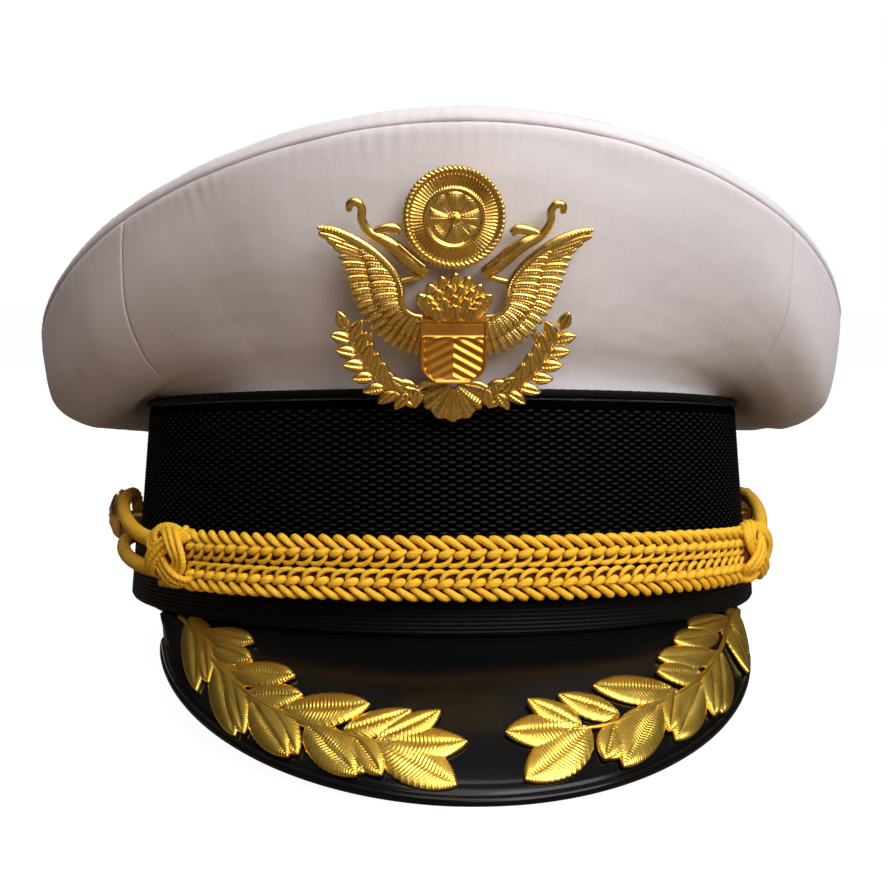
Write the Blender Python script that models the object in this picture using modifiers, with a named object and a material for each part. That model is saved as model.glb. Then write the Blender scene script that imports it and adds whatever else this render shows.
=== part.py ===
"""Military peaked cap as an assembly of separate pieces.

Metres, +Z up, front of the cap towards -Y. The origin is the centre of the head
opening, in the plane of the band's lower edge. Plan shapes are ovals: a point at
angle phi is (a*sin(phi), -b*cos(phi)), so phi = 0 is the front, +90 degrees is the
wearer's left side (+X) and 180 degrees is the back.
"""

import math

import bmesh
import bpy
from mathutils import Matrix, Vector

MM = 0.001
PI = math.pi

# ---------------------------------------------------------------- driving sizes, mm
OVAL_EXTRA = 14.2        # every band oval is this much longer than wide, half to half
TAPER = 0.028            # the band leans in by this much for each mm of height
FLARE = 2.4              # and at its sides it is this much wider at the foot than at the top
SWEAT_IN, SWEAT_T = 83.5, 1.0
FRAME_IN, FRAME_T = 86.4, 1.5
BRAID_IN, BRAID_T = 88.6, 1.2
BELT_IN, BELT_T = 90.1, 1.1
BAND_TOP = 56.4
SIDE_RISE = 2.0          # the band's lower edge is this much higher at the sides
BELT_TOP = 20.0
SWEAT_TOP = 34.0

RIM_A, RIM_B, RIM_Y = 116.2, 126.2, 5.0      # centre line of the crown's rim hoop
RIM_R = 3.8                                  # radius of the rolled edge
RIM_Z0, RIM_Z1, RIM_Z2 = 79.8, 27.2, 10.6    # hoop height: Z0 + Z1 cos(phi) + Z2 cos(2 phi)
CLOTH = 1.0
WALL_FOOT = 55.3
SEAM_RIM, SEAM_FOOT = 44.0, 62.0             # degrees from the front to each side seam, at the rim and at the band

VISOR_PHI, VISOR_THETA = 59.5, 85.0
VISOR_W, VISOR_Y0, VISOR_L = 78.0, -48.0, 95.4
VISOR_DROP = 27.8
VISOR_T = 1.6

CORD_A = 94.9            # half width of the oval the cord's centre line follows
CORD_H, CORD_D = 3.5, 2.7
CORD_Z_UP, CORD_Z_LOW = 20.5, 12.8
KNOT_PHI = {1: 55.0, -1: 49.5}
BUTTON_Y, BUTTON_Z = 10.0, 24.0

BADGE_LEAN = math.radians(19.0)
BADGE_C = Vector((-4.2, -110.6, 68.2))       # middle of the shield, on the badge's back plane
POST_UP = 4.0                                # the screw post is this far above it


def clear_scene():
    for obj in list(bpy.data.objects):
        bpy.data.objects.remove(obj, do_unlink=True)


clear_scene()
CAP = bpy.data.collections.new("peaked_cap")
CUT = bpy.data.collections.new("cutters")
bpy.context.scene.collection.children.link(CAP)
bpy.context.scene.collection.children.link(CUT)


# ---------------------------------------------------------------- materials
def material(name, colour, rough, metal=0.0, alpha=1.0):
    mat = bpy.data.materials.new(name)
    mat.use_nodes = True
    shader = mat.node_tree.nodes["Principled BSDF"]
    shader.inputs["Base Color"].default_value = (*colour, 1.0)
    shader.inputs["Roughness"].default_value = rough
    shader.inputs["Metallic"].default_value = metal
    shader.inputs["Alpha"].default_value = alpha
    return mat


WHITE = material("white_cloth", (0.78, 0.76, 0.76), 0.9)
BRAID = material("black_braid", (0.012, 0.012, 0.013), 0.6)
RIBBON = material("black_ribbon", (0.015, 0.015, 0.016), 0.55)
PATENT = material("black_patent", (0.006, 0.006, 0.007), 0.12)
UNDER = material("visor_under", (0.02, 0.03, 0.024), 0.5)
CORD = material("gold_cord", (0.86, 0.50, 0.045), 0.55)
GILT = material("gilt_metal", (0.83, 0.58, 0.16), 0.25, 1.0)
LEAF = material("gilt_leaf", (0.72, 0.49, 0.13), 0.35, 0.9)
BOARD = material("frame_board", (0.45, 0.36, 0.25), 0.8)
LEATHER = material("sweat_leather", (0.16, 0.08, 0.045), 0.5)
STEEL = material("spring_steel", (0.55, 0.55, 0.56), 0.3, 1.0)
FOAM = material("front_pad", (0.72, 0.72, 0.68), 0.95)
SATIN = material("lining_satin", (0.05, 0.05, 0.06), 0.45)
VINYL = material("clear_vinyl", (0.8, 0.85, 0.85), 0.1, 0.0, 0.35)


# ---------------------------------------------------------------- helpers
def link(obj, mat, smooth=40):
    for c in list(obj.users_collection):
        c.objects.unlink(obj)
    CAP.objects.link(obj)
    obj.data.materials.clear()
    obj.data.materials.append(mat)
    if obj.type == "MESH" and smooth:
        obj.data.shade_smooth()
        obj.data.set_sharp_from_angle(angle=math.radians(smooth))
    return obj


def new_mesh(name, bm, mat, smooth=40):
    mesh = bpy.data.meshes.new(name)
    bmesh.ops.recalc_face_normals(bm, faces=bm.faces)
    if bm.calc_volume(signed=True) < 0:
        bmesh.ops.reverse_faces(bm, faces=bm.faces)
    bm.to_mesh(mesh)
    bm.free()
    return link(bpy.data.objects.new(name, mesh), mat, smooth)


def solidify(obj, thickness, offset=-1.0):
    mod = obj.modifiers.new("Solidify", "SOLIDIFY")
    mod.thickness = thickness * MM
    mod.offset = offset
    mod.use_even_offset = False
    return obj


def wrapped_tube(name, rings, mat, segments=56):
    """Open tube round the head: a cylinder primitive per wall, each ring moved by its function of phi."""
    bm = bmesh.new()
    bmesh.ops.create_grid(bm, x_segments=segments, y_segments=len(rings) - 1, size=0.5)
    for v in bm.verts:
        phi = (v.co.x + 0.5) * 2 * PI
        k = round((v.co.y + 0.5) * (len(rings) - 1))
        v.co = Vector(rings[k](phi)) * MM
    bmesh.ops.remove_doubles(bm, verts=bm.verts, dist=1e-5)
    return new_mesh(name, bm, mat)


def patch(name, point, nu, nv, mat):
    """Open sheet: a grid primitive whose (u, v) in 0..1 goes to point(u, v) in mm."""
    bm = bmesh.new()
    bmesh.ops.create_grid(bm, x_segments=nu, y_segments=nv, size=0.5)
    for v in bm.verts:
        v.co = Vector(point(v.co.x + 0.5, v.co.y + 0.5)) * MM
    bmesh.ops.remove_doubles(bm, verts=bm.verts, dist=1e-5)
    return bm


def face_towards(bm, centre, outward=True):
    """Turns every face away from centre (mm), or towards it, so that Solidify grows the right way."""
    bmesh.ops.recalc_face_normals(bm, faces=bm.faces)
    bm.normal_update()
    total = sum(f.normal.dot(f.calc_center_median() - Vector(centre) * MM) * f.calc_area() for f in bm.faces)
    if (total > 0) != outward:
        bmesh.ops.reverse_faces(bm, faces=bm.faces)


def sheet(name, point, nu, nv, mat, thickness, centre=(0, 0, 40), outward=True):
    bm = patch(name, point, nu, nv, mat)
    face_towards(bm, centre, outward)
    mesh = bpy.data.meshes.new(name)
    bm.to_mesh(mesh)
    bm.free()
    return solidify(link(bpy.data.objects.new(name, mesh), mat), thickness)


def wire(name, points, radius, mat, closed=False, resolution=2, flat=1.0):
    """Bent wire, cord or tube through points (mm)."""
    curve = bpy.data.curves.new(name, "CURVE")
    curve.dimensions = "3D"
    curve.bevel_depth = radius * MM
    curve.bevel_resolution = resolution
    curve.use_fill_caps = not closed
    spline = curve.splines.new("POLY")
    spline.points.add(len(points) - 1)
    for p, co in zip(spline.points, points):
        p.co = (*(Vector(co) * MM), 1.0)
    spline.use_cyclic_u = closed
    obj = link(bpy.data.objects.new(name, curve), mat)
    return obj


def as_mesh(obj):
    """The curve as a welded mesh, so that Booleans can use it."""
    bpy.context.view_layer.update()
    graph = bpy.context.evaluated_depsgraph_get()
    mesh = bpy.data.meshes.new_from_object(obj.evaluated_get(graph))
    bm = bmesh.new()
    bm.from_mesh(mesh)
    bmesh.ops.remove_doubles(bm, verts=bm.verts, dist=1e-6)
    bmesh.ops.recalc_face_normals(bm, faces=bm.faces)
    bm.to_mesh(mesh)
    bm.free()
    name, matrix, mats = obj.name, obj.matrix_world.copy(), list(obj.data.materials)
    bpy.data.objects.remove(obj, do_unlink=True)
    made = bpy.data.objects.new(name, mesh)
    made.matrix_world = matrix
    return link(made, mats[0])


def plate(name, outline, thickness, mat, bevel=0.0):
    """Flat plate with this outline (mm, in local X and Y), thickness along local Z, its back at z = 0."""
    curve = bpy.data.curves.new(name, "CURVE")
    curve.dimensions = "2D"
    curve.fill_mode = "BOTH"
    curve.extrude = thickness * MM / 2
    spline = curve.splines.new("POLY")
    spline.points.add(len(outline) - 1)
    for p, co in zip(spline.points, outline):
        p.co = (co[0] * MM, co[1] * MM, 0, 1)
    spline.use_cyclic_u = True
    return link(bpy.data.objects.new(name, curve), mat)


def cylinder(name, radius, depth, mat, segments=24, inner=None):
    """Cylinder or ring along local Z with its back face at z = 0."""
    bm = bmesh.new()
    bmesh.ops.create_cone(bm, cap_ends=True, segments=segments, radius1=radius * MM, radius2=radius * MM, depth=depth * MM)
    bmesh.ops.translate(bm, verts=bm.verts, vec=(0, 0, depth * MM / 2))
    obj = new_mesh(name, bm, mat)
    if inner:
        tool = cutter(name + "_bore", inner, depth * 3, segments)
        tool.parent = obj
        cut(obj, tool)
    return obj


def cutter(name, radius, depth, segments=24):
    bm = bmesh.new()
    bmesh.ops.create_cone(bm, cap_ends=True, segments=segments, radius1=radius * MM, radius2=radius * MM, depth=depth * MM)
    mesh = bpy.data.meshes.new(name)
    bm.to_mesh(mesh)
    bm.free()
    obj = bpy.data.objects.new(name, mesh)
    CUT.objects.link(obj)
    obj.hide_render = True
    obj.display_type = "WIRE"
    return obj


def cut(obj, tool, operation="DIFFERENCE"):
    mod = obj.modifiers.new(tool.name, "BOOLEAN")
    mod.operation = operation
    mod.object = tool
    mod.solver = "EXACT"
    return obj


def turned(name, profile, mat, steps=24, flip=False):
    """Turned piece: a profile of (radius, height) in mm, from the outer foot over the top to the axis, on a Screw modifier about local Z."""
    mesh = bpy.data.meshes.new(name)
    mesh.from_pydata([(r * MM, 0, h * MM) for r, h in profile], [(i, i + 1) for i in range(len(profile) - 1)], [])
    obj = link(bpy.data.objects.new(name, mesh), mat)
    mod = obj.modifiers.new("Screw", "SCREW")
    mod.steps = mod.render_steps = steps
    mod.use_merge_vertices = True
    mod.merge_threshold = 0.00001
    mod.use_normal_calculate = True
    mod.use_normal_flip = flip
    return obj


# ---------------------------------------------------------------- the band
def oval(phi, a, z, extra=OVAL_EXTRA):
    """Point on a band oval of half width a at the base, leaning in with height."""
    r = a - TAPER * z
    return ((r + FLARE * (1 - z / BAND_TOP)) * math.sin(phi), -(r + extra) * math.cos(phi), z)


def foot(phi):
    """Height of the band's lower edge."""
    return SIDE_RISE * math.sin(phi) ** 2


def band(name, inner, thickness, low, high, mat, segments=56):
    """Closed strip round the head, its outer wall first and then Solidify inwards."""
    outer = inner + thickness
    bm = bmesh.new()
    bmesh.ops.create_cone(bm, cap_ends=False, segments=segments, radius1=1, radius2=1, depth=2)
    for v in bm.verts:
        phi = math.atan2(v.co.x, -v.co.y)
        z = high(phi) if v.co.z > 0 else low(phi)
        v.co = Vector(oval(phi, outer, z)) * MM
    face_towards(bm, (0, 0, 30))
    mesh = bpy.data.meshes.new(name)
    bm.to_mesh(mesh)
    bm.free()
    return solidify(link(bpy.data.objects.new(name, mesh), mat), thickness)


frame_band = band("frame_band", FRAME_IN, FRAME_T, foot, lambda p: 54.6, BOARD)
sweatband = band("sweatband", SWEAT_IN, SWEAT_T, lambda p: foot(p) + 0.2, lambda p: SWEAT_TOP, LEATHER)
band_braid = band("band_braid", BRAID_IN, BRAID_T, lambda p: 9.4, lambda p: BAND_TOP, BRAID)
base_belt = band("base_belt", BELT_IN, BELT_T, lambda p: foot(p) + 0.3, lambda p: BELT_TOP, RIBBON)

wire("band_top_welt", [oval(2 * PI * i / 56, BRAID_IN + 0.9, BAND_TOP + 1.5) for i in range(56)], 1.1, RIBBON, closed=True, resolution=1)
wire("sweatband_piping", [Vector(oval(2 * PI * i / 56, 85.9, foot(2 * PI * i / 56))) + Vector((0, 0, -1.2)) for i in range(56)], 0.8, LEATHER, closed=True, resolution=1)


# ---------------------------------------------------------------- the crown
def rim(phi):
    return Vector((RIM_A * math.sin(phi), RIM_Y - RIM_B * math.cos(phi), RIM_Z0 + RIM_Z1 * math.cos(phi) + RIM_Z2 * math.cos(2 * phi)))


def smooth(t):
    t = max(0.0, min(1.0, t))
    return t * t * (3 - 2 * t)


# profile of the crown's wall: (share of the way out from the band to the rim, height)
FRONT_KEYS = ((0.0, 0.0), (0.11, 0.045), (0.36, 0.25), (0.61, 0.49), (0.85, 0.77), (1.0, 1.0))
SIDE_KEYS = ((0.0, 59.7), (0.09, 60.9), (0.25, 54.6), (0.55, 51.0), (0.90, 57.5))
BACK_KEYS = ((0.0, 59.7), (0.09, 60.9), (0.25, 53.6), (0.55, 49.2), (0.90, 53.2))


def keys(phi):
    """Profile points of the wall at this angle: the front's slope blends into the side's droop, then the back's."""
    top = rim(phi).z - 0.3
    turn = abs(math.degrees(math.atan2(math.sin(phi), math.cos(phi))))
    side, back = smooth((turn - 30) / 55), smooth((turn - 90) / 80)
    found = [(0.0, WALL_FOOT)]
    for i, (q, t) in enumerate(FRONT_KEYS):
        z = 59.7 + t * (top - 59.7)
        if i < 5:
            round_q = SIDE_KEYS[i][0] * (1 - back) + BACK_KEYS[i][0] * back
            round_z = SIDE_KEYS[i][1] * (1 - back) + BACK_KEYS[i][1] * back
            q, z = q * (1 - side) + round_q * side, z * (1 - side) + round_z * side
        found.append((q, z))
    return found


def catmull(points, t):
    n = len(points) - 1
    i = min(int(t * n), n - 1)
    f = t * n - i
    p = [points[max(i - 1, 0)], points[i], points[i + 1], points[min(i + 2, n)]]
    return tuple(
        0.5 * (2 * p[1][k] + (p[2][k] - p[0][k]) * f + (2 * p[0][k] - 5 * p[1][k] + 4 * p[2][k] - p[3][k]) * f * f + (3 * p[1][k] - p[0][k] - 3 * p[2][k] + p[3][k]) * f ** 3)
        for k in (0, 1)
    )


def wall(phi, v):
    """Outer face of the crown's wall, v = 0 at the band and 1 at the rim seam."""
    q, z = catmull(keys(phi), v)
    foot_x, foot_y, _ = oval(phi, 88.0, 57.0)
    r = rim(phi)
    top_x, top_y = r.x + RIM_R * math.sin(phi), r.y - RIM_R * math.cos(phi)
    return Vector((foot_x + (top_x - foot_x) * q, foot_y + (top_y - foot_y) * q, z))


def tip(phi, v):
    """Outer face of the top panel: it rolls over the rim hoop from v = 0, then runs to the middle at v = 1 as a stretched sheet."""
    roll = 0.22
    if v < roll:
        a = math.radians(12 + 78 * v / roll)
        r = rim(phi)
        return Vector((r.x + RIM_R * math.cos(a) * math.sin(phi), r.y - RIM_R * math.cos(a) * math.cos(phi), r.z + RIM_R * math.sin(a)))
    s = 1 - (v - roll) / (1 - roll)
    return Vector((RIM_A * s * math.sin(phi), RIM_Y - RIM_B * s * math.cos(phi), RIM_Z0 + RIM_Z1 * s * math.cos(phi) + RIM_Z2 * s * s * math.cos(2 * phi) + RIM_R))


def seam(v):
    return SEAM_FOOT + (SEAM_RIM - SEAM_FOOT) * v


def wall_panel(name, start, end, nu, nv=10):
    """One panel of the wall between two seams, given as angles that may change with height."""
    def point(u, v):
        a, b = start(v), end(v)
        return wall(math.radians(a + (b - a) * u), 0.985 * v)
    return sheet(name, point, nu, nv, WHITE, CLOTH, centre=(0, 0, 75))


front_panel = wall_panel("crown_front_panel", lambda v: 0.15 - seam(v), lambda v: seam(v) - 0.15, 22)
wall_panel("crown_left_panel", lambda v: seam(v) + 0.15, lambda v: 179.85, 24)
wall_panel("crown_right_panel", lambda v: -179.85, lambda v: -seam(v) - 0.15, 24)
sheet("crown_top_panel", lambda u, v: tip(2 * PI * u, v), 56, 9, WHITE, CLOTH, centre=(0, 0, 20))

# spring-steel hoop that holds the rim out, its ends joined by a sleeve at the back
hoop = [rim(PI + math.radians(1.0 + 358.0 * i / 60)) for i in range(61)]
wire("rim_hoop", hoop, 1.2, STEEL, resolution=1)
sleeve_path = [rim(PI + math.radians(-7 + 3.5 * i)) for i in range(5)]
sleeve = as_mesh(wire("rim_hoop_sleeve", sleeve_path, 2.3, STEEL, resolution=2))
bore_path = [rim(PI + math.radians(-9 + 3.6 * i)) for i in range(6)]
sleeve_bore = as_mesh(wire("sleeve_bore", bore_path, 1.6, STEEL, resolution=2))
CAP.objects.unlink(sleeve_bore)
CUT.objects.link(sleeve_bore)
sleeve_bore.hide_render = True
sleeve_bore.display_type = "WIRE"
cut(sleeve, sleeve_bore)


def inward(phi, v, depth):
    """Point this far inside the crown's wall, square to it."""
    d = 0.01
    across = wall(phi + d, v) - wall(phi - d, v)
    up = wall(phi, min(v + d, 1)) - wall(phi, max(v - d, 0))
    n = across.cross(up).normalized()
    if n.dot(Vector((math.sin(phi), -math.cos(phi), 0))) < 0:
        n = -n
    return wall(phi, v) - n * depth


PAD_V0, PAD_V1 = 0.42, 0.95
pad = sheet("front_pad", lambda u, v: inward(math.radians(-34 + 68 * u), PAD_V0 + (PAD_V1 - PAD_V0) * v, 1.4), 16, 5, FOAM, 2.0, centre=(0, 0, 75))

# the spring-wire stay that keeps the front of the crown up: an arch behind the pad
stay = []
for i in range(9):
    stay.append(inward(math.radians(-13 + 0.3 * i), 0.37 + 0.07 * i, 5.2))
stay += [inward(math.radians(-8.5 + 3.4 * i), 0.955, 5.2) for i in range(6)]
for i in range(9):
    stay.append(inward(math.radians(10.6 + 0.3 * i), 0.37 + 0.07 * (8 - i), 5.2))
wire("front_stay", stay, 1.0, STEEL, resolution=1)


# ---------------------------------------------------------------- lining and sweat shield
def lining_top(x, y):
    """Height of the lining's tip, under the top panel, at a plan position in mm."""
    sx, sy = x / RIM_A, (RIM_Y - y) / RIM_B
    return RIM_Z0 + RIM_Z1 * sy + RIM_Z2 * (sy * sy - sx * sx) - 3.5


LINING_A, LINING_B, LINING_FOOT, LINING_ROUND = 84.2, 98.4, 37.0, 0.6


def lining_height(x, y):
    """Outer face of the lining: a rounded dome that stands on the oval of the sweatband's upper edge."""
    share = min(math.hypot(x / LINING_A, y / LINING_B), 1.0)
    rise = (1 - share ** (2 / LINING_ROUND)) ** (LINING_ROUND / 2)
    return LINING_FOOT + (lining_top(x, y) - LINING_FOOT) * rise


def on_lining(phi, angle):
    """Point on the dome, angle = 0 at its foot and 90 degrees in the middle of its tip."""
    reach = max(math.cos(angle), 0.0) ** LINING_ROUND
    x, y = LINING_A * reach * math.sin(phi), -LINING_B * reach * math.cos(phi)
    return (x, y, lining_height(x, y))


def side_sheet(u, v):
    return on_lining(2 * PI * u, math.radians((0.0, 2.0, 8.0, 17.0, 27.0, 36.0)[round(v * 5)]))


def tip_sheet(u, v):
    return on_lining(2 * PI * u, math.radians(36.9 + (90 - 36.9) * v ** 0.8))


sheet("lining_side", side_sheet, 40, 5, SATIN, 0.5, centre=(0, 0, 45))
sheet("lining_tip", tip_sheet, 40, 4, SATIN, 0.5, centre=(0, 0, 45))


def shield_sheet(u, v):
    x, y = 52 * (1 - v) * math.sin(2 * PI * u), -4 - 64 * (1 - v) * math.cos(2 * PI * u)
    return (x, y, lining_height(x, y) - 2.4)


sheet("sweat_shield", shield_sheet, 24, 4, VINYL, 0.4, centre=(0, 0, 0), outward=True)


# ---------------------------------------------------------------- the visor
def visor(t, v):
    """Top face of the visor: t = -1 to 1 from horn to horn, v = 0 at the belt's lower edge and 1 at the lip."""
    phi, theta = math.radians(VISOR_PHI) * t, math.radians(VISOR_THETA) * t
    root = Vector(oval(phi, BELT_IN + BELT_T, foot(phi))) + Vector((0, 0, -0.9))
    fall = VISOR_DROP * math.cos(theta)
    lip = Vector((VISOR_W * math.sin(theta), VISOR_Y0 - VISOR_L * math.cos(theta), -fall))
    run = lip - root
    up = Vector((0, 0, 1)) - run * (run.z / max(run.length_squared, 1e-9))
    return root + run * v + up.normalized() * (4 * v * (1 - v) * 0.045 * run.length)


def visor_sheet(u, v):
    t = 2 * u - 1
    phi = math.radians(VISOR_PHI) * t
    k = round(v * 8)
    if k == 0:   # flange sewn up behind the belt
        return Vector(oval(phi, BELT_IN - 0.4, 8.6))
    if k == 1:
        return Vector(oval(phi, BELT_IN - 0.4, foot(phi))) + Vector((0, 0, -0.2))
    return visor(t * 0.995, (k - 2) / 6)


def visor_normal(t, v):
    d = 0.01
    n = (visor(t + d, v) - visor(t - d, v)).cross(visor(t, v + d) - visor(t, v - d)).normalized()
    return n if n.z > 0 else -n


def visor_under(u, v):
    """Lining face, clear of the visor's own thickness."""
    t, q = (2 * u - 1) * 0.91, 0.10 + 0.84 * v
    return visor(t, q) - visor_normal(t, q) * (VISOR_T + 0.55)


sheet("visor_shell", visor_sheet, 32, 8, PATENT, VISOR_T, centre=(0, -60, -80))
sheet("visor_lining", visor_under, 28, 4, UNDER, 0.7, centre=(0, -60, -80))
bead = []
for i in range(41):
    t = (-1 + 2 * i / 40) * 0.965
    away = (visor(t, 1.0) - visor(t, 0.9)).normalized()
    bead.append(visor(t, 1.0) + away * 1.5 - Vector((0, 0, 0.8)))
wire("visor_edge_bead", bead, 1.1, PATENT, resolution=1)


def spray(side):
    """Raised leaf spray: a strip along a curve on the visor, from the horn to near the middle."""
    def point(u, v):
        t = side * (0.90 - 0.86 * u)
        middle = 0.44 + 0.19 * smooth(u * 1.6)
        half = 0.23 + 0.06 * math.sin(PI * u)
        if u > 0.9 or u < 0.06:
            half *= 0.6
        q = middle + (2 * v - 1) * half
        return visor(t, q) + visor_normal(t, q) * 1.6
    return point


sheet("leaf_spray_left", spray(1), 20, 3, LEAF, 1.1, centre=(0, -60, -80))
sheet("leaf_spray_right", spray(-1), 20, 3, LEAF, 1.1, centre=(0, -60, -80))


# ---------------------------------------------------------------- chin cord, which swings on the side buttons
def cord_row(name, z):
    """One braided row across the front, from knot to knot: an oval bar, flattened against the band."""
    n = 36
    bm = bmesh.new()
    bmesh.ops.create_cone(bm, cap_ends=True, segments=8, radius1=1, radius2=1, depth=1)
    # a prism whose length is cut into n steps and bent round the band
    bmesh.ops.subdivide_edges(bm, edges=[e for e in bm.edges if abs(e.verts[0].co.z - e.verts[1].co.z) > 0.5], cuts=n - 1)
    for v in bm.verts:
        s = v.co.z + 0.5
        phi = math.radians(-(KNOT_PHI[-1] - 5) * (1 - s) + (KNOT_PHI[1] - 5) * s)
        x, y, _ = oval(phi, CORD_A, 9)
        nx, ny = math.sin(phi) / CORD_A, -math.cos(phi) / (CORD_A + OVAL_EXTRA)
        k = math.hypot(nx, ny)
        nx, ny = nx / k, ny / k
        v.co = Vector((x + nx * v.co.x * CORD_D, y + ny * v.co.x * CORD_D, z + v.co.y * CORD_H)) * MM
    return new_mesh(name, bm, CORD)


cord_row("cord_upper_row", CORD_Z_UP)
cord_row("cord_lower_row", CORD_Z_LOW)


def side_name(side):
    return "left" if side > 0 else "right"


def knot(side):
    """Wrapped knot that gathers the two rows: a rounded barrel across both."""
    bm = bmesh.new()
    bmesh.ops.create_uvsphere(bm, u_segments=12, v_segments=8, radius=1)
    for v in bm.verts:
        phi = side * math.radians(KNOT_PHI[side] + 4.5 * v.co.x)
        x, y, _ = oval(phi, CORD_A + 1.2, 9)
        nx, ny = math.sin(phi), -math.cos(phi) * 0.87
        v.co = Vector((x + nx * v.co.y * 3.9, y + ny * v.co.y * 3.9, 17.3 + v.co.z * 8.8)) * MM
    return new_mesh("cord_knot_" + side_name(side), bm, CORD)


def loop(side):
    """The cord's end beyond the knot, up and round the button's shank and back."""
    points = []
    start, turn = KNOT_PHI[side] + 7.5, 90 + math.degrees(math.asin(BUTTON_Y / 105)) - 1.5
    spread = 6.6
    for i in range(11):
        s = i / 10
        points.append((start + (turn - start) * s, CORD_Z_UP + (BUTTON_Z + spread - CORD_Z_UP) * smooth(s)))
    for i in range(1, 8):
        a = PI / 2 - PI * i / 8
        points.append((turn + math.degrees(spread * math.cos(a) / 105), BUTTON_Z + spread * math.sin(a)))
    for i in range(11):
        s = 1 - i / 10
        points.append((start + (turn - start) * s, CORD_Z_LOW + (BUTTON_Z - spread - CORD_Z_LOW) * smooth(s)))
    path = []
    for angle, z in points:
        x, y, _ = oval(math.radians(angle), CORD_A - 0.5, 14)
        path.append((side * x, y, z))
    return wire("cord_loop_" + side_name(side), path, 2.3, CORD, resolution=1)


def side_button(side):
    """Gilt button: domed shell, back plate with its shank through the band, and the keeper washer inside the frame."""
    name = side_name(side)
    turn = Matrix.Rotation(side * PI / 2, 4, "Y")
    place = Vector((side * 98.6, BUTTON_Y, BUTTON_Z))
    pivot = bpy.data.objects.new("button_pivot_" + name, None)
    CAP.objects.link(pivot)
    pivot.matrix_world = Matrix.Translation(place * MM) @ turn
    shell = turned("button_shell_" + name, [(0.0, 4.6), (2.6, 4.35), (4.9, 3.6), (6.7, 2.3), (7.7, 0.9), (7.9, 0.3), (7.4, 0.0), (6.9, 0.35), (6.2, 1.6), (4.4, 2.8), (2.3, 3.5), (0.0, 3.7)][::1], GILT, 20)
    back = turned("button_back_" + name, [(0.0, 0.9), (6.3, 0.9), (6.3, 0.2), (1.5, 0.2), (1.5, -12.9), (0.0, -12.9)], GILT, 20, flip=True)
    keeper = cylinder("button_keeper_" + name, 4.0, 0.5, STEEL, 20, inner=1.75)
    for piece in (shell, back):
        piece.parent = pivot
    keeper.parent = pivot
    keeper.location = Vector((0, 0, -13.2)) * MM
    return pivot


for s in (1, -1):
    knot(s)
    loop(s)
    side_button(s)

# holes for the shanks through the frame and the braid
shank_hole = cutter("shank_hole", 2.0, 240, 16)
shank_hole.matrix_world = Matrix.Translation(Vector((0, BUTTON_Y, BUTTON_Z)) * MM) @ Matrix.Rotation(PI / 2, 4, "Y")
cut(frame_band, shank_hole)
cut(band_braid, shank_hole)


# ---------------------------------------------------------------- the badge
BADGE = Matrix.Translation(BADGE_C * MM) @ Matrix.Rotation(PI / 2 + BADGE_LEAN, 4, "X")
# local X is across, local Y is up the badge and local Z is out of its face


def wing_outline():
    """Right half of the plate's outline, from the top middle round to the bottom middle."""
    half = [(0, 30.0), (4.5, 28.0), (9.0, 25.0), (15.0, 25.5), (21.0, 28.0), (25.5, 29.5), (30.6, 28.2), (29.4, 23.0), (27.6, 16.0), (26.5, 10.0), (25.6, 4.0), (24.4, -1.5), (22.0, -7.5), (18.0, -12.5), (11.5, -13.5), (8.2, -10.8), (8.1, -14.0), (5.6, -17.4), (0, -18.8)]
    return half + [(-x, y) for x, y in half[-2:0:-1]]


def put_on_badge(obj, x, y, z):
    obj.matrix_world = BADGE @ Matrix.Translation(Vector((x, y, z)) * MM)
    return obj


put_on_badge(plate("badge_wings", wing_outline(), 1.5, GILT), 0, 0, 0.75)
put_on_badge(plate("badge_shield", [(-7.8, 7.0), (7.8, 7.0), (7.8, -2.5), (6.0, -5.6), (0, -8.0), (-6.0, -5.6), (-7.8, -2.5)], 1.7, GILT), 0, 0, 1.8 + 0.85)
put_on_badge(cylinder("badge_medallion", 11.6, 1.8, GILT, 32), -0.6, 30.4, 1.8)

# screw post with a flange behind the wings, eyelet in the cloth, washer and thumb nut inside the crown
post = turned("badge_screw_post", [(0.0, -0.3), (3.6, -0.3), (3.6, -0.9), (1.5, -0.9), (1.5, -14.5), (0.0, -14.5)], GILT, 16, flip=True)
put_on_badge(post, 0, POST_UP, 0)
hole = cutter("badge_hole", 2.3, 30, 16)
hole.matrix_world = BADGE @ Matrix.Translation(Vector((0, POST_UP, -6)) * MM)
cut(front_panel, hole)
cut(pad, hole)
NUT_Z = -12.6
washer = cylinder("badge_washer", 7.0, 0.7, STEEL, 24, inner=2.0)
put_on_badge(washer, 0, POST_UP, NUT_Z + 3.3)
nut = cylinder("badge_thumb_nut", 5.5, 3.0, GILT, 12, inner=1.8)
put_on_badge(nut, 0, POST_UP, NUT_Z)
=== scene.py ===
"""Looks of a military peaked cap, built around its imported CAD.

Lengths below are millimetres in the row frame: front towards -Y, +Z up, origin in the
middle of the head opening. phi is the angle round the band, 0 at the front.
"""

import math

import bpy
import numpy as np
from mathutils import Matrix, Vector


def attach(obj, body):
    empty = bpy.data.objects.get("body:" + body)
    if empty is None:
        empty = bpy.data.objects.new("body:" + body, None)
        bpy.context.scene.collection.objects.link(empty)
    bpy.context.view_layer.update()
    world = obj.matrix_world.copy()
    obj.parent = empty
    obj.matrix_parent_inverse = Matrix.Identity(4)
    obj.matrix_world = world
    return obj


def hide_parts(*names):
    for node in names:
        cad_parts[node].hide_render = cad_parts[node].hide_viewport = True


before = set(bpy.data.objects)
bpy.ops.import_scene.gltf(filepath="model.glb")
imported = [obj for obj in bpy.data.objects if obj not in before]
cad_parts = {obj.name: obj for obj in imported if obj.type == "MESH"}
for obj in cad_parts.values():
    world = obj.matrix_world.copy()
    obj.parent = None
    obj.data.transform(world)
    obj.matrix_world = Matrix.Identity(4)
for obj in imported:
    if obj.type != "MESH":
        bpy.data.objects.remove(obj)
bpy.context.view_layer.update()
MM = 0.001
PI = math.pi
rad = np.radians

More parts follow.
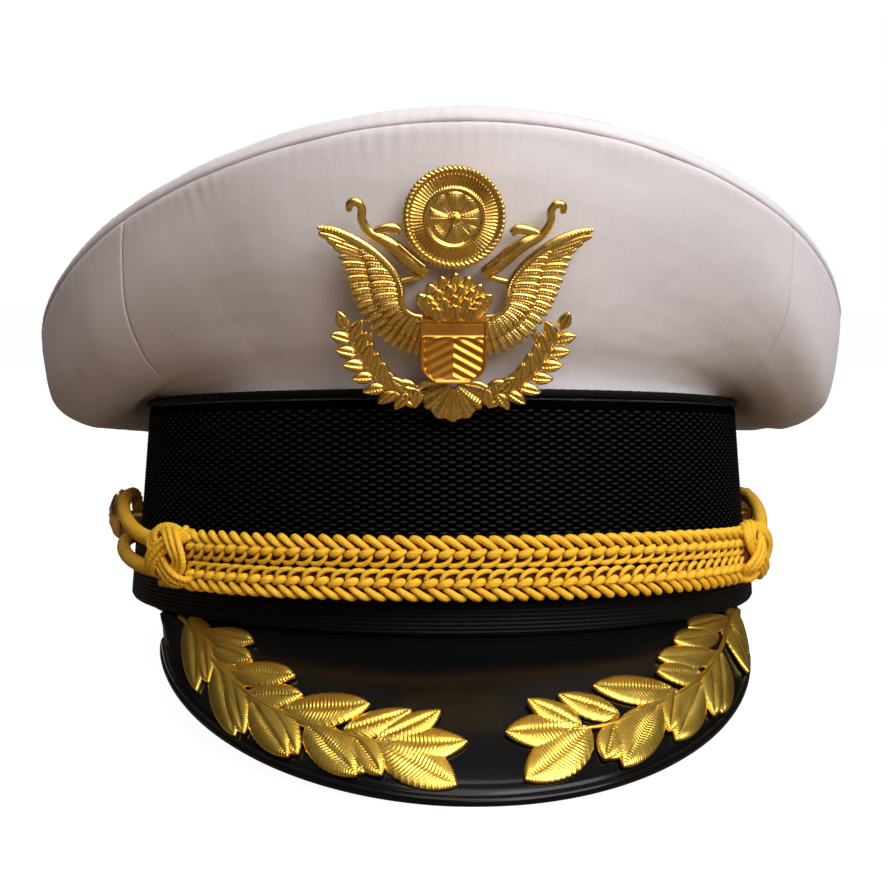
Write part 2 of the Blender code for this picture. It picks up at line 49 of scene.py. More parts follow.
# ---------------------------------------------------------------- the CAD's driving sizes
OVAL_EXTRA, TAPER, FLARE = 14.2, 0.028, 2.4
BAND_TOP, SIDE_RISE, BELT_TOP, SWEAT_TOP = 56.4, 2.0, 20.0, 34.0
RIM_A, RIM_B, RIM_Y, RIM_R = 116.2, 126.2, 5.0, 3.8
RIM_Z0, RIM_Z1, RIM_Z2 = 79.8, 27.2, 10.6
WALL_FOOT = 55.3
SEAM_RIM, SEAM_FOOT = 44.0, 62.0
VISOR_PHI, VISOR_THETA = 59.5, 85.0
VISOR_W, VISOR_Y0, VISOR_L, VISOR_DROP, VISOR_T = 78.0, -48.0, 95.4, 27.8, 1.6
CORD_A, CORD_Z_UP, CORD_Z_LOW = 94.9, 20.5, 12.8
KNOT_PHI = {1: 55.0, -1: 49.5}
BUTTON_Y, BUTTON_Z = 10.0, 24.0
BADGE_LEAN = math.radians(19.0)
BADGE_C = np.array([-4.2, -110.6, 68.2])
LINING_A, LINING_B, LINING_FOOT, LINING_ROUND = 84.2, 98.4, 37.0, 0.6
FRONT_KEYS = ((0.0, 0.0), (0.088, 0.095), (0.325, 0.25), (0.61, 0.49), (0.85, 0.77), (1.0, 1.0))
SIDE_KEYS = ((0.0, 59.7), (0.09, 60.9), (0.25, 54.6), (0.55, 51.0), (0.90, 57.5))
BACK_KEYS = ((0.0, 59.7), (0.09, 60.9), (0.25, 53.6), (0.55, 49.2), (0.90, 53.2))


# ---------------------------------------------------------------- curves and surfaces
def smooth(t):
    t = np.clip(t, 0, 1)
    return t * t * (3 - 2 * t)


def unit(a):
    return a / np.maximum(np.linalg.norm(a, axis=-1, keepdims=True), 1e-12)


def wobble(x, y, seed, scale, count=9):
    """Smooth irregular values of about -1 to 1, with features of about this size."""
    rng = np.random.RandomState(seed)
    total = np.zeros(np.broadcast(x, y).shape)
    for _ in range(count):
        a, k, p = rng.uniform(0, 2 * PI), rng.uniform(0.6, 1.7), rng.uniform(0, 2 * PI)
        total = total + np.sin((np.cos(a) * x + np.sin(a) * y) * k * 2 * PI / scale + p)
    return total / math.sqrt(count) * 0.75


def oval(phi, a, z, extra=OVAL_EXTRA):
    phi, a, z = np.broadcast_arrays(*(np.asarray(k, float) for k in (phi, a, z)))
    r = a - TAPER * z
    return np.stack([(r + FLARE * (1 - z / BAND_TOP)) * np.sin(phi), -(r + extra) * np.cos(phi), z], -1)


def foot(phi):
    return SIDE_RISE * np.sin(phi) ** 2


def turn_of(phi):
    return np.abs(np.degrees(np.arctan2(np.sin(phi), np.cos(phi))))


def rim(phi):
    phi = np.asarray(phi, float)
    lift = 1.3 * np.exp(-(((turn_of(phi) - 55) / 20) ** 2))
    return np.stack([RIM_A * np.sin(phi), RIM_Y - RIM_B * np.cos(phi), RIM_Z0 + RIM_Z1 * np.cos(phi) + RIM_Z2 * np.cos(2 * phi) + lift], -1)


def catmull(points, t):
    """Catmull-Rom through points[k] (arrays that may differ from place to place) at t in 0..1."""
    n = len(points) - 1
    i = np.clip((t * n).astype(int), 0, n - 1)
    f = t * n - i
    stack = np.stack([np.broadcast_to(p, t.shape) for p in points])
    p0, p1, p2, p3 = (np.take_along_axis(stack, np.clip(i + k, 0, n)[None], 0)[0] for k in (-1, 0, 1, 2))
    return 0.5 * (2 * p1 + (p2 - p0) * f + (2 * p0 - 5 * p1 + 4 * p2 - p3) * f * f + (3 * p1 - p0 - 3 * p2 + p3) * f**3)


def wall(phi, v):
    """Outer face of the crown's wall: v = 0 at the band, 1 at the rim seam."""
    phi, v = np.broadcast_arrays(np.asarray(phi, float), np.asarray(v, float))
    r = rim(phi)
    top = r[..., 2] - 0.3
    turn = turn_of(phi)
    side, back = smooth((turn - 30) / 55), smooth((turn - 90) / 80)
    qs, zs = [0 * phi], [0 * phi + WALL_FOOT]
    for i, (fq, ft) in enumerate(FRONT_KEYS):
        q, z = fq + 0 * phi, 59.7 + ft * (top - 59.7)
        if i < 5:
            rq = SIDE_KEYS[i][0] * (1 - back) + BACK_KEYS[i][0] * back
            rz = SIDE_KEYS[i][1] * (1 - back) + BACK_KEYS[i][1] * back
            q, z = q * (1 - side) + rq * side, z * (1 - side) + rz * side
        qs.append(q)
        zs.append(z)
    q, z = catmull(qs, v), catmull(zs, v)
    foot_xy = oval(phi, 88.0, 57.0)[..., :2]
    top_xy = r[..., :2] + RIM_R * np.stack([np.sin(phi), -np.cos(phi)], -1)
    xy = foot_xy + (top_xy - foot_xy) * q[..., None]
    return np.concatenate([xy, z[..., None]], -1)


def tip_sheet(phi, s):
    """The top panel inside the rim, from s = 1 at the rim to 0 in the middle."""
    lift = 1.3 * np.exp(-(((turn_of(phi) - 55) / 20) ** 2)) * s**6
    return np.stack([RIM_A * s * np.sin(phi), RIM_Y - RIM_B * s * np.cos(phi), RIM_Z0 + RIM_Z1 * s * np.cos(phi) + RIM_Z2 * s * s * np.cos(2 * phi) + RIM_R + lift], -1)


def visor(t, v):
    t, v = np.broadcast_arrays(np.asarray(t, float), np.asarray(v, float))
    phi, theta = math.radians(VISOR_PHI) * t, math.radians(VISOR_THETA) * t
    root = oval(phi, 91.2, foot(phi)) - np.array([0, 0, 0.9])
    lip = np.stack([VISOR_W * np.sin(theta), VISOR_Y0 - VISOR_L * np.cos(theta), -VISOR_DROP * np.cos(theta)], -1)
    run = lip - root
    length = np.linalg.norm(run, axis=-1, keepdims=True)
    up = unit(np.array([0, 0, 1.0]) - run * (run[..., 2:3] / np.maximum(length**2, 1e-9)))
    return root + run * v[..., None] + up * (4 * v * (1 - v) * 0.045)[..., None] * length


def visor_normal(t, v):
    d = 0.004
    return -unit(np.cross(visor(t + d, v) - visor(t - d, v), visor(t, v + d) - visor(t, v - d)))


def lining_top(x, y):
    sx, sy = x / RIM_A, (RIM_Y - y) / RIM_B
    return RIM_Z0 + RIM_Z1 * sy + RIM_Z2 * (sy * sy - sx * sx) - 3.5


def lining_height(x, y):
    share = np.minimum(np.hypot(x / LINING_A, y / LINING_B), 1.0)
    rise = np.maximum(1 - share ** (2 / LINING_ROUND), 0) ** (LINING_ROUND / 2)
    return LINING_FOOT + (lining_top(x, y) - LINING_FOOT) * rise


def on_badge(x, y, z):
    """Badge coordinates (across, up, out of the face) to the row frame."""
    c, s = math.cos(PI / 2 + BADGE_LEAN), math.sin(PI / 2 + BADGE_LEAN)
    x, y, z = np.broadcast_arrays(np.asarray(x, float), np.asarray(y, float), np.asarray(z, float))
    return np.stack([x, y * c - z * s, y * s + z * c], -1) + BADGE_C


# ---------------------------------------------------------------- building meshes
def grid_normals(p, closed=False):
    if closed:
        du = np.roll(p, -1, 0) - np.roll(p, 1, 0)
    else:
        du = np.gradient(p, axis=0)
    dv = np.gradient(p, axis=1)
    n = np.cross(du, dv)
    size = np.linalg.norm(n, axis=-1)
    n = unit(n)
    for j in range(1, p.shape[1]):   # where a ring has shrunk to a point, the last good normals go on
        bad = size[:, j] < 1e-9
        n[bad, j] = n[bad, j - 1]
    return n


def cells(nu, nv, closed):
    """Corner indices (i, j) of every cell of a grid, as two arrays of shape (cells, 4)."""
    i, j = np.meshgrid(np.arange(nu if closed else nu - 1), np.arange(nv - 1), indexing="ij")
    i, j = i.ravel(), j.ravel()
    return np.stack([i, i + 1, i + 1, i], 1), np.stack([j, j, j + 1, j + 1], 1)


def volume(v, groups):
    total = 0.0
    for f in groups:
        for k in range(1, f.shape[1] - 1):
            total += np.einsum("ij,ij->i", v[f[:, 0]], np.cross(v[f[:, k]], v[f[:, k + 1]])).sum() / 6
    return total


class Piece:
    """Collects closed shells and tubes, in mm, and builds them as one mesh object."""

    def __init__(self):
        self.v, self.n, self.f, self.uv, self.m = [], 0, {}, {}, {}

    def add(self, verts, groups, mat=0):
        verts = np.asarray(verts, float).reshape(-1, 3)
        flip = volume(verts - verts.mean(0), [f for f, _ in groups]) < 0
        for f, uv in groups:
            if flip:
                f, uv = f[:, ::-1], uv[:, ::-1]
            k = f.shape[1]
            self.f.setdefault(k, []).append(f + self.n)
            self.uv.setdefault(k, []).append(uv)
            self.m.setdefault(k, []).append(np.full(len(f), mat))
        self.v.append(verts)
        self.n += len(verts)

    def shell(self, outer, inner, closed=False, cap=False, uv=None, mat=0):
        """Closed body between two grids. cap: the last ring shrinks to its middle and is filled there."""
        nu, nv = outer.shape[:2]
        if uv is None:
            du = np.linalg.norm(np.diff(outer, axis=0), axis=-1).mean(1)
            dv = np.linalg.norm(np.diff(outer, axis=1), axis=-1).mean(0)
            us = np.concatenate([[0], np.cumsum(du)])
            if closed:
                us = np.concatenate([us, [us[-1] + du.mean()]])
            vs = np.concatenate([[0], np.cumsum(dv)])
            uv = np.stack(np.meshgrid(us, vs, indexing="ij"), -1)
        groups = []
        ci, cj = cells(nu, nv, closed)
        base = nu * nv
        groups.append(((ci % nu) * nv + cj, uv[ci, cj]))
        groups.append((((ci % nu) * nv + cj)[:, ::-1] + base, uv[ci, cj][:, ::-1]))
        i = np.arange(nu if closed else nu - 1)
        for j, turned in ((0, True), (nv - 1, False)):
            if j and cap:
                continue
            a, b = (i % nu) * nv + j, ((i + 1) % nu) * nv + j
            f = np.stack([a, b, b + base, a + base], 1)
            t = np.stack([uv[i, j], uv[i + 1, j], uv[i + 1, j], uv[i, j]], 1)
            groups.append((f[:, ::-1], t[:, ::-1]) if not turned else (f[:, ::-1], t[:, ::-1]))
            if j:
                groups[-1] = (f, t)
        if not closed:
            j = np.arange(nv - 1)
            for k in (0, nu - 1):
                a, b = k * nv + j, k * nv + j + 1
                f = np.stack([a, b, b + base, a + base], 1)
                t = np.stack([uv[k, j], uv[k, j + 1], uv[k, j + 1], uv[k, j]], 1)
                groups.append((f, t) if k == 0 else (f[:, ::-1], t[:, ::-1]))
        verts = [outer.reshape(-1, 3), inner.reshape(-1, 3)]
        if cap:
            middle = np.stack([outer[:, -1].mean(0), inner[:, -1].mean(0)])
            verts.append(middle)
            a, b = (i % nu) * nv + nv - 1, ((i + 1) % nu) * nv + nv - 1
            top = 2 * base
            t = np.stack([uv[i, nv - 1], uv[i + 1, nv - 1], uv[i, nv - 1]], 1)
            groups.append((np.stack([a, b, np.full_like(a, top)], 1), t))
            groups.append((np.stack([b + base, a + base, np.full_like(a, top + 1)], 1), t))
        self.add(np.concatenate(verts), groups, mat)

    def tubes(self, centres, radii, up, sides=8, closed=False, flat=1.0, mat=0, twist=0.0):
        """Many closed tubes at once: centres (m, k, 3), radii (m, k), up (m, k, 3). flat is the radius along up over the radius across it."""
        c = np.asarray(centres, float)
        m, k = c.shape[:2]
        r = np.broadcast_to(np.asarray(radii, float), (m, k))
        up = np.broadcast_to(np.asarray(up, float), c.shape)
        if closed:
            tangent = unit(np.roll(c, -1, 1) - np.roll(c, 1, 1))
        else:
            tangent = unit(np.gradient(c, axis=1))
        across = unit(np.cross(tangent, up))
        lift = np.cross(across, tangent)
        a = np.arange(sides) * 2 * PI / sides
        ring = r[..., None, None] * (np.cos(a)[:, None] * across[:, :, None] + flat * np.sin(a)[:, None] * lift[:, :, None])
        verts = c[:, :, None] + ring
        steps = np.linalg.norm(np.diff(c, axis=1), axis=-1)
        along = np.concatenate([np.zeros((m, 1)), np.cumsum(steps, 1)], 1)
        if closed:
            along = np.concatenate([along, along[:, -1:] + steps.mean(1, keepdims=True)], 1)
        rmax = r.max(1)
        i, j = np.meshgrid(np.arange(k if closed else k - 1), np.arange(sides), indexing="ij")
        i, j = i.ravel(), j.ravel()
        ci, cj = np.stack([i, i + 1, i + 1, i], 1), np.stack([j, j, j + 1, j + 1], 1)
        local = (ci % k) * sides + (cj % sides)
        f = (np.arange(m)[:, None, None] * k * sides + local[None]).reshape(-1, 4)
        u = along[:, ci]
        w = cj[None] / sides * 2 * PI * rmax[:, None, None]
        groups = [(f, np.stack([u, w + twist * u], -1).reshape(-1, 4, 2))]
        if not closed:
            first = np.arange(sides)
            for ring_at, order in ((0, first), (k - 1, first[::-1])):
                g = np.arange(m)[:, None] * k * sides + ring_at * sides + order[None]
                t = np.zeros((m, sides, 2))
                t[..., 0] = along[:, ring_at][:, None]
                groups.append((g, t))
        self.add(verts.reshape(-1, 3), groups, mat)

    def build(self, name, mats, body, slot, replaces=(), sharp=None):
        verts = np.concatenate(self.v) * MM
        keys = sorted(self.f)
        faces = [np.concatenate(self.f[k]) for k in keys]
        uvs = [np.concatenate(self.uv[k]) for k in keys]
        slots = [np.concatenate(self.m[k]) for k in keys]
        me = bpy.data.meshes.new(name)
        me.vertices.add(len(verts))
        me.vertices.foreach_set("co", verts.astype(np.float32).ravel())
        loops = np.concatenate([f.ravel() for f in faces]).astype(np.int32)
        me.loops.add(len(loops))
        me.loops.foreach_set("vertex_index", loops)
        counts = np.concatenate([np.full(len(f), f.shape[1]) for f in faces])
        me.polygons.add(len(counts))
        me.polygons.foreach_set("loop_start", np.concatenate([[0], np.cumsum(counts)[:-1]]).astype(np.int32))
        me.polygons.foreach_set("material_index", np.concatenate(slots).astype(np.int32))
        me.polygons.foreach_set("use_smooth", np.ones(len(counts), bool))
        layer = me.uv_layers.new(name="cloth")
        layer.data.foreach_set("uv", np.concatenate([u.reshape(-1, 2) for u in uvs]).astype(np.float32).ravel())
        me.update(calc_edges=True)
        if sharp:
            me.set_sharp_from_angle(angle=math.radians(sharp))
        for m in mats if isinstance(mats, (list, tuple)) else [mats]:
            me.materials.append(m)
        ob = bpy.data.objects.new(name, me)
        bpy.context.scene.collection.objects.link(ob)
        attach(ob, body)
        if replaces:
            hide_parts(*replaces)
        return ob


CELLS, ROWS = 147, 53
CELL_W, ROW_H = 2 * PI * (89.8 + OVAL_EXTRA / 2) / CELLS, (BAND_TOP - 9.4) / ROWS


# ---------------------------------------------------------------- materials
def nd(nt, kind, ins=None, **props):
    n = nt.nodes.new("ShaderNode" + kind)
    for k, v in props.items():
        setattr(n, k, v)
    for k, v in (ins or {}).items():
        if isinstance(v, bpy.types.NodeSocket):
            nt.links.new(v, n.inputs[k])
        else:
            n.inputs[k].default_value = v
    return n


def shader(name, colour, rough, metal=0.0, **more):
    m = bpy.data.materials.new(name)
    m.use_nodes = True
    b = m.node_tree.nodes["Principled BSDF"]
    b.inputs["Base Color"].default_value = (*colour, 1)
    b.inputs["Roughness"].default_value = rough
    b.inputs["Metallic"].default_value = metal
    for k, v in more.items():
        b.inputs[k.replace("_", " ")].default_value = (*v, 1) if isinstance(v, tuple) and len(v) == 3 else v
    return m, m.node_tree, b


def ramp(nt, fac, stops):
    n = nd(nt, "ValToRGB", {"Fac": fac})
    e = n.color_ramp.elements
    while len(e) < len(stops):
        e.new(0.5)
    for k, (p, c) in zip(e, stops):
        k.position = p
        k.color = (*c, 1) if len(c) == 3 else c
    return n.outputs["Color"]


def fmath(nt, op, a, b=0.0, c=None):
    n = nt.nodes.new("ShaderNodeMath")
    n.operation = op
    for k, v in enumerate((a, b) if c is None else (a, b, c)):
        if isinstance(v, bpy.types.NodeSocket):
            nt.links.new(v, n.inputs[k])
        else:
            n.inputs[k].default_value = v
    return n.outputs[0]


def uv(nt):
    s = nd(nt, "SeparateXYZ", {"Vector": nd(nt, "UVMap", uv_map="cloth").outputs["UV"]})
    return s.outputs["X"], s.outputs["Y"]


def place(nt):
    return nd(nt, "TexCoord").outputs["Object"]


def noise(nt, scale, detail=3.0, rough=0.5, vector=None, distortion=0.0):
    return nd(nt, "TexNoise", {"Vector": vector or place(nt), "Scale": scale, "Detail": detail, "Roughness": rough, "Distortion": distortion}).outputs["Fac"]


def bump(nt, b, height, distance, strength=1.0, under=None):
    n = nd(nt, "Bump", {"Height": height, "Distance": distance * MM, "Strength": strength})
    if under is not None:
        nt.links.new(under, n.inputs["Normal"])
    nt.links.new(n.outputs["Normal"], b.inputs["Normal"])
    return n.outputs["Normal"]


def sine(nt, x, pitch, shift=0.0):
    """0..1 wave of this pitch."""
    return fmath(nt, "MULTIPLY_ADD", fmath(nt, "SINE", fmath(nt, "MULTIPLY_ADD", x, 2 * PI / pitch, shift)), 0.5, 0.5)


def white_cloth(name, tint=(0.735, 0.700, 0.714)):
    m, nt, b = shader(name, tint, 0.85, Sheen_Weight=0.18, Sheen_Roughness=0.45, Specular_IOR_Level=0.25)
    x, y = uv(nt)
    # fine poplin: warp and weft threads cross, with slubs and a slow unevenness
    slub = noise(nt, 2600, 2.0)
    slow = noise(nt, 55, 3.0)
    wx = fmath(nt, "MULTIPLY_ADD", slub, 0.35, x)
    wy = fmath(nt, "MULTIPLY_ADD", slub, 0.35, y)
    warp, weft = sine(nt, wx, 0.56), sine(nt, wy, 0.50)
    weave = fmath(nt, "ADD", fmath(nt, "MULTIPLY", warp, fmath(nt, "SUBTRACT", 1.0, weft)), fmath(nt, "MULTIPLY", fmath(nt, "SUBTRACT", 1.0, warp), weft))
    long_y = nd(nt, "TexNoise", {"Vector": nd(nt, "CombineXYZ", {"X": fmath(nt, "MULTIPLY", x, 1.7), "Y": fmath(nt, "MULTIPLY", y, 0.05)}).outputs[0], "Scale": 1.0, "Detail": 3.0}).outputs["Fac"]
    long_x = nd(nt, "TexNoise", {"Vector": nd(nt, "CombineXYZ", {"X": fmath(nt, "MULTIPLY", x, 0.05), "Y": fmath(nt, "MULTIPLY", y, 1.7)}).outputs[0], "Scale": 1.0, "Detail": 3.0}).outputs["Fac"]
    threads = fmath(nt, "ADD", fmath(nt, "MULTIPLY", long_x, 0.5), fmath(nt, "MULTIPLY", long_y, 0.5))
    shade = fmath(nt, "ADD", fmath(nt, "MULTIPLY", threads, 0.50), fmath(nt, "ADD", fmath(nt, "MULTIPLY", slow, 0.25), fmath(nt, "MULTIPLY", weave, 0.30)))
    t = np.array(tint)
    nt.links.new(ramp(nt, shade, [(0.30, tuple(t * np.array([0.90, 0.885, 0.895]))), (0.52, tuple(t)), (0.75, tuple(np.minimum(t * 1.07, 1)))]), b.inputs["Base Color"])
    low = bump(nt, b, threads, 0.045, 0.6)
    bump(nt, b, weave, 0.05, 0.8, under=low)
    return m


def black_cloth(name, colour=(0.010, 0.010, 0.0115), rough=0.55, ribs=0.0, cell=False):
    m, nt, b = shader(name, colour, rough, Specular_IOR_Level=0.10)
    x, y = uv(nt)
    fibre = noise(nt, 3200, 2.0)
    slow = noise(nt, 60, 2.0)
    c = np.array(colour)
    nt.links.new(ramp(nt, fmath(nt, "ADD", fmath(nt, "MULTIPLY", fibre, 0.6), fmath(nt, "MULTIPLY", slow, 0.4)), [(0.3, tuple(c * 0.6)), (0.55, tuple(c)), (0.8, tuple(c * 1.9))]), b.inputs["Base Color"])
    nt.links.new(fmath(nt, "MULTIPLY_ADD", fibre, 0.25, rough - 0.12), b.inputs["Roughness"])
    under = None
    if ribs:
        under = bump(nt, b, sine(nt, y, ribs), 0.10, 0.8)
        under = bump(nt, b, sine(nt, x, 0.42), 0.03, 0.7, under=under)
    if cell:   # raised dashes of yarn, staggered like bricks, over pits that the light doesn't reach
        cx = fmath(nt, "COSINE", fmath(nt, "MULTIPLY", x, 2 * PI / CELL_W))
        cy = fmath(nt, "COSINE", fmath(nt, "MULTIPLY", fmath(nt, "SUBTRACT", y, 9.4), PI / ROW_H))
        dash = fmath(nt, "MULTIPLY", cx, cy)
        row = fmath(nt, "MULTIPLY", cy, cy)
        crest = fmath(nt, "MULTIPLY", fmath(nt, "POWER", fmath(nt, "MAXIMUM", dash, 0.0), 0.45), fmath(nt, "POWER", row, 0.6))
        plain = fmath(nt, "GREATER_THAN", y, BAND_TOP - 2.2)
        crest = fmath(nt, "MULTIPLY", crest, fmath(nt, "SUBTRACT", 1.0, plain))
        # base colour paints a highlight onto the raised dashes and shade into the pits between them
        lit_crest_shaded_pit = fmath(nt, "ADD", fmath(nt, "MULTIPLY", crest, 0.75), fmath(nt, "MULTIPLY", fibre, 0.22))
        nt.links.new(ramp(nt, lit_crest_shaded_pit, [(0.12, (0.0009, 0.0009, 0.001)), (0.42, (0.003, 0.003, 0.0032)), (0.80, (0.017, 0.017, 0.018))]), b.inputs["Base Color"])
        nt.links.new(fmath(nt, "MULTIPLY", crest, 0.16), b.inputs["Specular IOR Level"])
        under = bump(nt, b, crest, 0.20, 0.9)
        under = bump(nt, b, sine(nt, fmath(nt, "MULTIPLY_ADD", fibre, 0.3, y), 0.25), 0.03, 0.5, under=under)
    bump(nt, b, fibre, 0.06, 0.8, under=under)
    return m


def gold_yarn(name, colour=(1.0, 0.56, 0.028)):
    m, nt, b = shader(name, colour, 0.5, Sheen_Weight=0.12, Sheen_Roughness=0.35, Sheen_Tint=(1.0, 0.72, 0.25), Specular_IOR_Level=0.35)
    x, y = uv(nt)
    twist = fmath(nt, "ADD", fmath(nt, "MULTIPLY", x, 0.62), y)
    stray = noise(nt, 1500, 2.0)
    fibre = sine(nt, fmath(nt, "MULTIPLY_ADD", stray, 0.30, twist), 0.34)
    ply = sine(nt, twist, 1.05)
    slow = noise(nt, 190, 2.0)
    c = np.array(colour)
    # base colour: slow random tone of the yarn, plus painted shade in the grooves of the ply and fibres and a paler
    # painted highlight on their crests
    shade = fmath(nt, "ADD", fmath(nt, "MULTIPLY", fibre, 0.35), fmath(nt, "ADD", fmath(nt, "MULTIPLY", slow, 0.45), fmath(nt, "MULTIPLY", ply, 0.2)))
    nt.links.new(ramp(nt, shade, [(0.2, tuple(c * np.array([0.86, 0.70, 0.5]))), (0.5, tuple(c)), (0.85, tuple(np.minimum(c * np.array([1.1, 1.28, 2.2]), 1)))]), b.inputs["Base Color"])
    nt.links.new(fmath(nt, "MULTIPLY_ADD", fibre, -0.15, 0.58), b.inputs["Roughness"])
    low = bump(nt, b, ply, 0.10, 0.5)
    bump(nt, b, fibre, 0.09, 0.8, under=low)
    return m


def gilt(name, colour=(1.0, 0.64, 0.16), rough=0.2, pits=0.05, grain=900, wear=0.35):
    m, nt, b = shader(name, colour, rough, 1.0)
    fine, slow = noise(nt, grain, 3.0), noise(nt, 85, 3.0, 0.6)
    c = np.array(colour)
    nt.links.new(ramp(nt, slow, [(0.3, tuple(c * np.array([0.86, 0.78, 0.66]))), (0.6, tuple(c)), (0.85, tuple(np.minimum(c * np.array([1.0, 1.06, 1.25]), 1)))]), b.inputs["Base Color"])
    nt.links.new(fmath(nt, "ADD", fmath(nt, "MULTIPLY_ADD", fine, 0.14, rough - 0.07), fmath(nt, "MULTIPLY", slow, 0.12 * wear)), b.inputs["Roughness"])
    bump(nt, b, fine, pits, 0.7)
    return m


def patent(name):
    m, nt, b = shader(name, (0.004, 0.004, 0.0042), 0.20, Coat_Weight=0.22, Coat_Roughness=0.16, Specular_IOR_Level=0.12)
    peel, slow, dust = noise(nt, 330, 2.0), noise(nt, 28, 2.0), noise(nt, 2400, 2.0, 0.7)
    nt.links.new(ramp(nt, dust, [(0.60, (0.0032, 0.0030, 0.0030)), (0.80, (0.008, 0.008, 0.008))]), b.inputs["Base Color"])
    nt.links.new(fmath(nt, "MULTIPLY_ADD", slow, 0.12, 0.17), b.inputs["Roughness"])
    low = bump(nt, b, peel, 0.05, 0.25)
    bump(nt, b, slow, 0.35, 0.35, under=low)
    return m


def leather(name, colour, grain=650, rough=0.48, depth=0.16):
    m, nt, b = shader(name, colour, rough, Specular_IOR_Level=0.4)
    v = nd(nt, "TexVoronoi", {"Vector": place(nt), "Scale": grain}, feature="DISTANCE_TO_EDGE").outputs["Distance"]
    cracks = fmath(nt, "MINIMUM", fmath(nt, "MULTIPLY", v, 3.0), 1.0)
    slow, fine = noise(nt, 40, 4.0), noise(nt, 1900, 2.0)
    c = np.array(colour)
    mix = fmath(nt, "ADD", fmath(nt, "MULTIPLY", slow, 0.75), fmath(nt, "MULTIPLY", cracks, 0.25))
    nt.links.new(ramp(nt, mix, [(0.3, tuple(c * 0.55)), (0.6, tuple(c)), (0.85, tuple(np.minimum(c * 1.5, 1)))]), b.inputs["Base Color"])
    nt.links.new(fmath(nt, "MULTIPLY_ADD", slow, 0.25, rough - 0.12), b.inputs["Roughness"])
    low = bump(nt, b, cracks, depth, 0.6)
    bump(nt, b, fine, 0.04, 0.5, under=low)
    return m


def satin(name, colour):
    m, nt, b = shader(name, colour, 0.38, Sheen_Weight=0.35, Sheen_Roughness=0.3, Anisotropic=0.6, Specular_IOR_Level=0.5)
    x, y = uv(nt)
    slow, fine = noise(nt, 70, 3.0), noise(nt, 2500, 2.0)
    c = np.array(colour)
    nt.links.new(ramp(nt, fmath(nt, "ADD", fmath(nt, "MULTIPLY", slow, 0.6), fmath(nt, "MULTIPLY", sine(nt, x, 0.5), 0.4)), [(0.25, tuple(c * 0.6)), (0.55, tuple(c)), (0.85, tuple(np.minimum(c * 1.6, 1)))]), b.inputs["Base Color"])
    nt.links.new(fmath(nt, "MULTIPLY_ADD", fine, 0.2, 0.28), b.inputs["Roughness"])
    low = bump(nt, b, slow, 1.2, 0.3)
    bump(nt, b, sine(nt, x, 0.36), 0.03, 0.5, under=low)
    return m


def steel(name):
    m, nt, b = shader(name, (0.52, 0.52, 0.53), 0.32, 1.0)
    long = nd(nt, "TexNoise", {"Vector": nd(nt, "Mapping", {"Vector": place(nt), "Scale": (60, 60, 2600)}).outputs[0], "Scale": 1.0, "Detail": 3.0}).outputs["Fac"]
    slow = noise(nt, 120, 4.0, 0.65)
    nt.links.new(ramp(nt, slow, [(0.35, (0.40, 0.39, 0.38)), (0.6, (0.55, 0.55, 0.56)), (0.82, (0.62, 0.62, 0.63))]), b.inputs["Base Color"])
    nt.links.new(fmath(nt, "MULTIPLY_ADD", long, 0.25, 0.2), b.inputs["Roughness"])
    bump(nt, b, long, 0.03, 0.6)
    return m


def board(name):
    m, nt, b = shader(name, (0.36, 0.27, 0.17), 0.85, Specular_IOR_Level=0.2)
    fibre = nd(nt, "TexNoise", {"Vector": nd(nt, "Mapping", {"Vector": place(nt), "Scale": (500, 500, 1500)}).outputs[0], "Scale": 1.0, "Detail": 5.0, "Roughness": 0.7, "Distortion": 1.5}).outputs["Fac"]
    fleck = nd(nt, "TexVoronoi", {"Vector": place(nt), "Scale": 420}).outputs["Distance"]
    nt.links.new(ramp(nt, fmath(nt, "ADD", fmath(nt, "MULTIPLY", fibre, 0.7), fmath(nt, "MULTIPLY", fleck, 0.4)), [(0.3, (0.20, 0.14, 0.08)), (0.55, (0.36, 0.27, 0.17)), (0.8, (0.50, 0.41, 0.29))]), b.inputs["Base Color"])
    bump(nt, b, fibre, 0.15, 0.7)
    return m


def felt(name):
    m, nt, b = shader(name, (0.70, 0.69, 0.64), 0.95, Sheen_Weight=0.4, Specular_IOR_Level=0.1)
    f1, f2 = noise(nt, 900, 6.0, 0.75, distortion=2.0), noise(nt, 120, 3.0)
    nt.links.new(ramp(nt, fmath(nt, "ADD", fmath(nt, "MULTIPLY", f1, 0.7), fmath(nt, "MULTIPLY", f2, 0.3)), [(0.3, (0.52, 0.51, 0.46)), (0.55, (0.70, 0.69, 0.64)), (0.8, (0.80, 0.79, 0.75))]), b.inputs["Base Color"])
    bump(nt, b, f1, 0.4, 0.7)
    return m


def vinyl(name):
    m, nt, b = shader(name, (0.90, 0.93, 0.92), 0.1, Transmission_Weight=0.0, Alpha=0.22, Coat_Weight=0.6, Coat_Roughness=0.05)
    slow, scuff = noise(nt, 35, 2.0), noise(nt, 1100, 3.0, 0.7)
    nt.links.new(ramp(nt, scuff, [(0.4, (0.90, 0.93, 0.92)), (0.75, (0.98, 0.98, 0.96))]), b.inputs["Base Color"])
    nt.links.new(fmath(nt, "MULTIPLY_ADD", scuff, 0.2, 0.03), b.inputs["Roughness"])
    bump(nt, b, slow, 0.8, 0.4)
    return m


WHITE = white_cloth("white_poplin")
THREAD = white_cloth("white_thread", (0.66, 0.62, 0.63))
BRAID = black_cloth("black_mohair_braid", cell=True)
RIBBON = black_cloth("black_ribbed_ribbon", (0.0030, 0.0030, 0.0031), 0.5, ribs=1.0)
WELT = black_cloth("black_welt", (0.0022, 0.0022, 0.0023), 0.6, ribs=0.6)
BLACK_THREAD = black_cloth("black_thread", (0.02, 0.02, 0.022), 0.5)
PATENT = patent("black_patent")
UNDER = leather("visor_leatherette", (0.012, 0.020, 0.015), 900, 0.42, 0.12)
YARN = gold_yarn("gold_yarn")
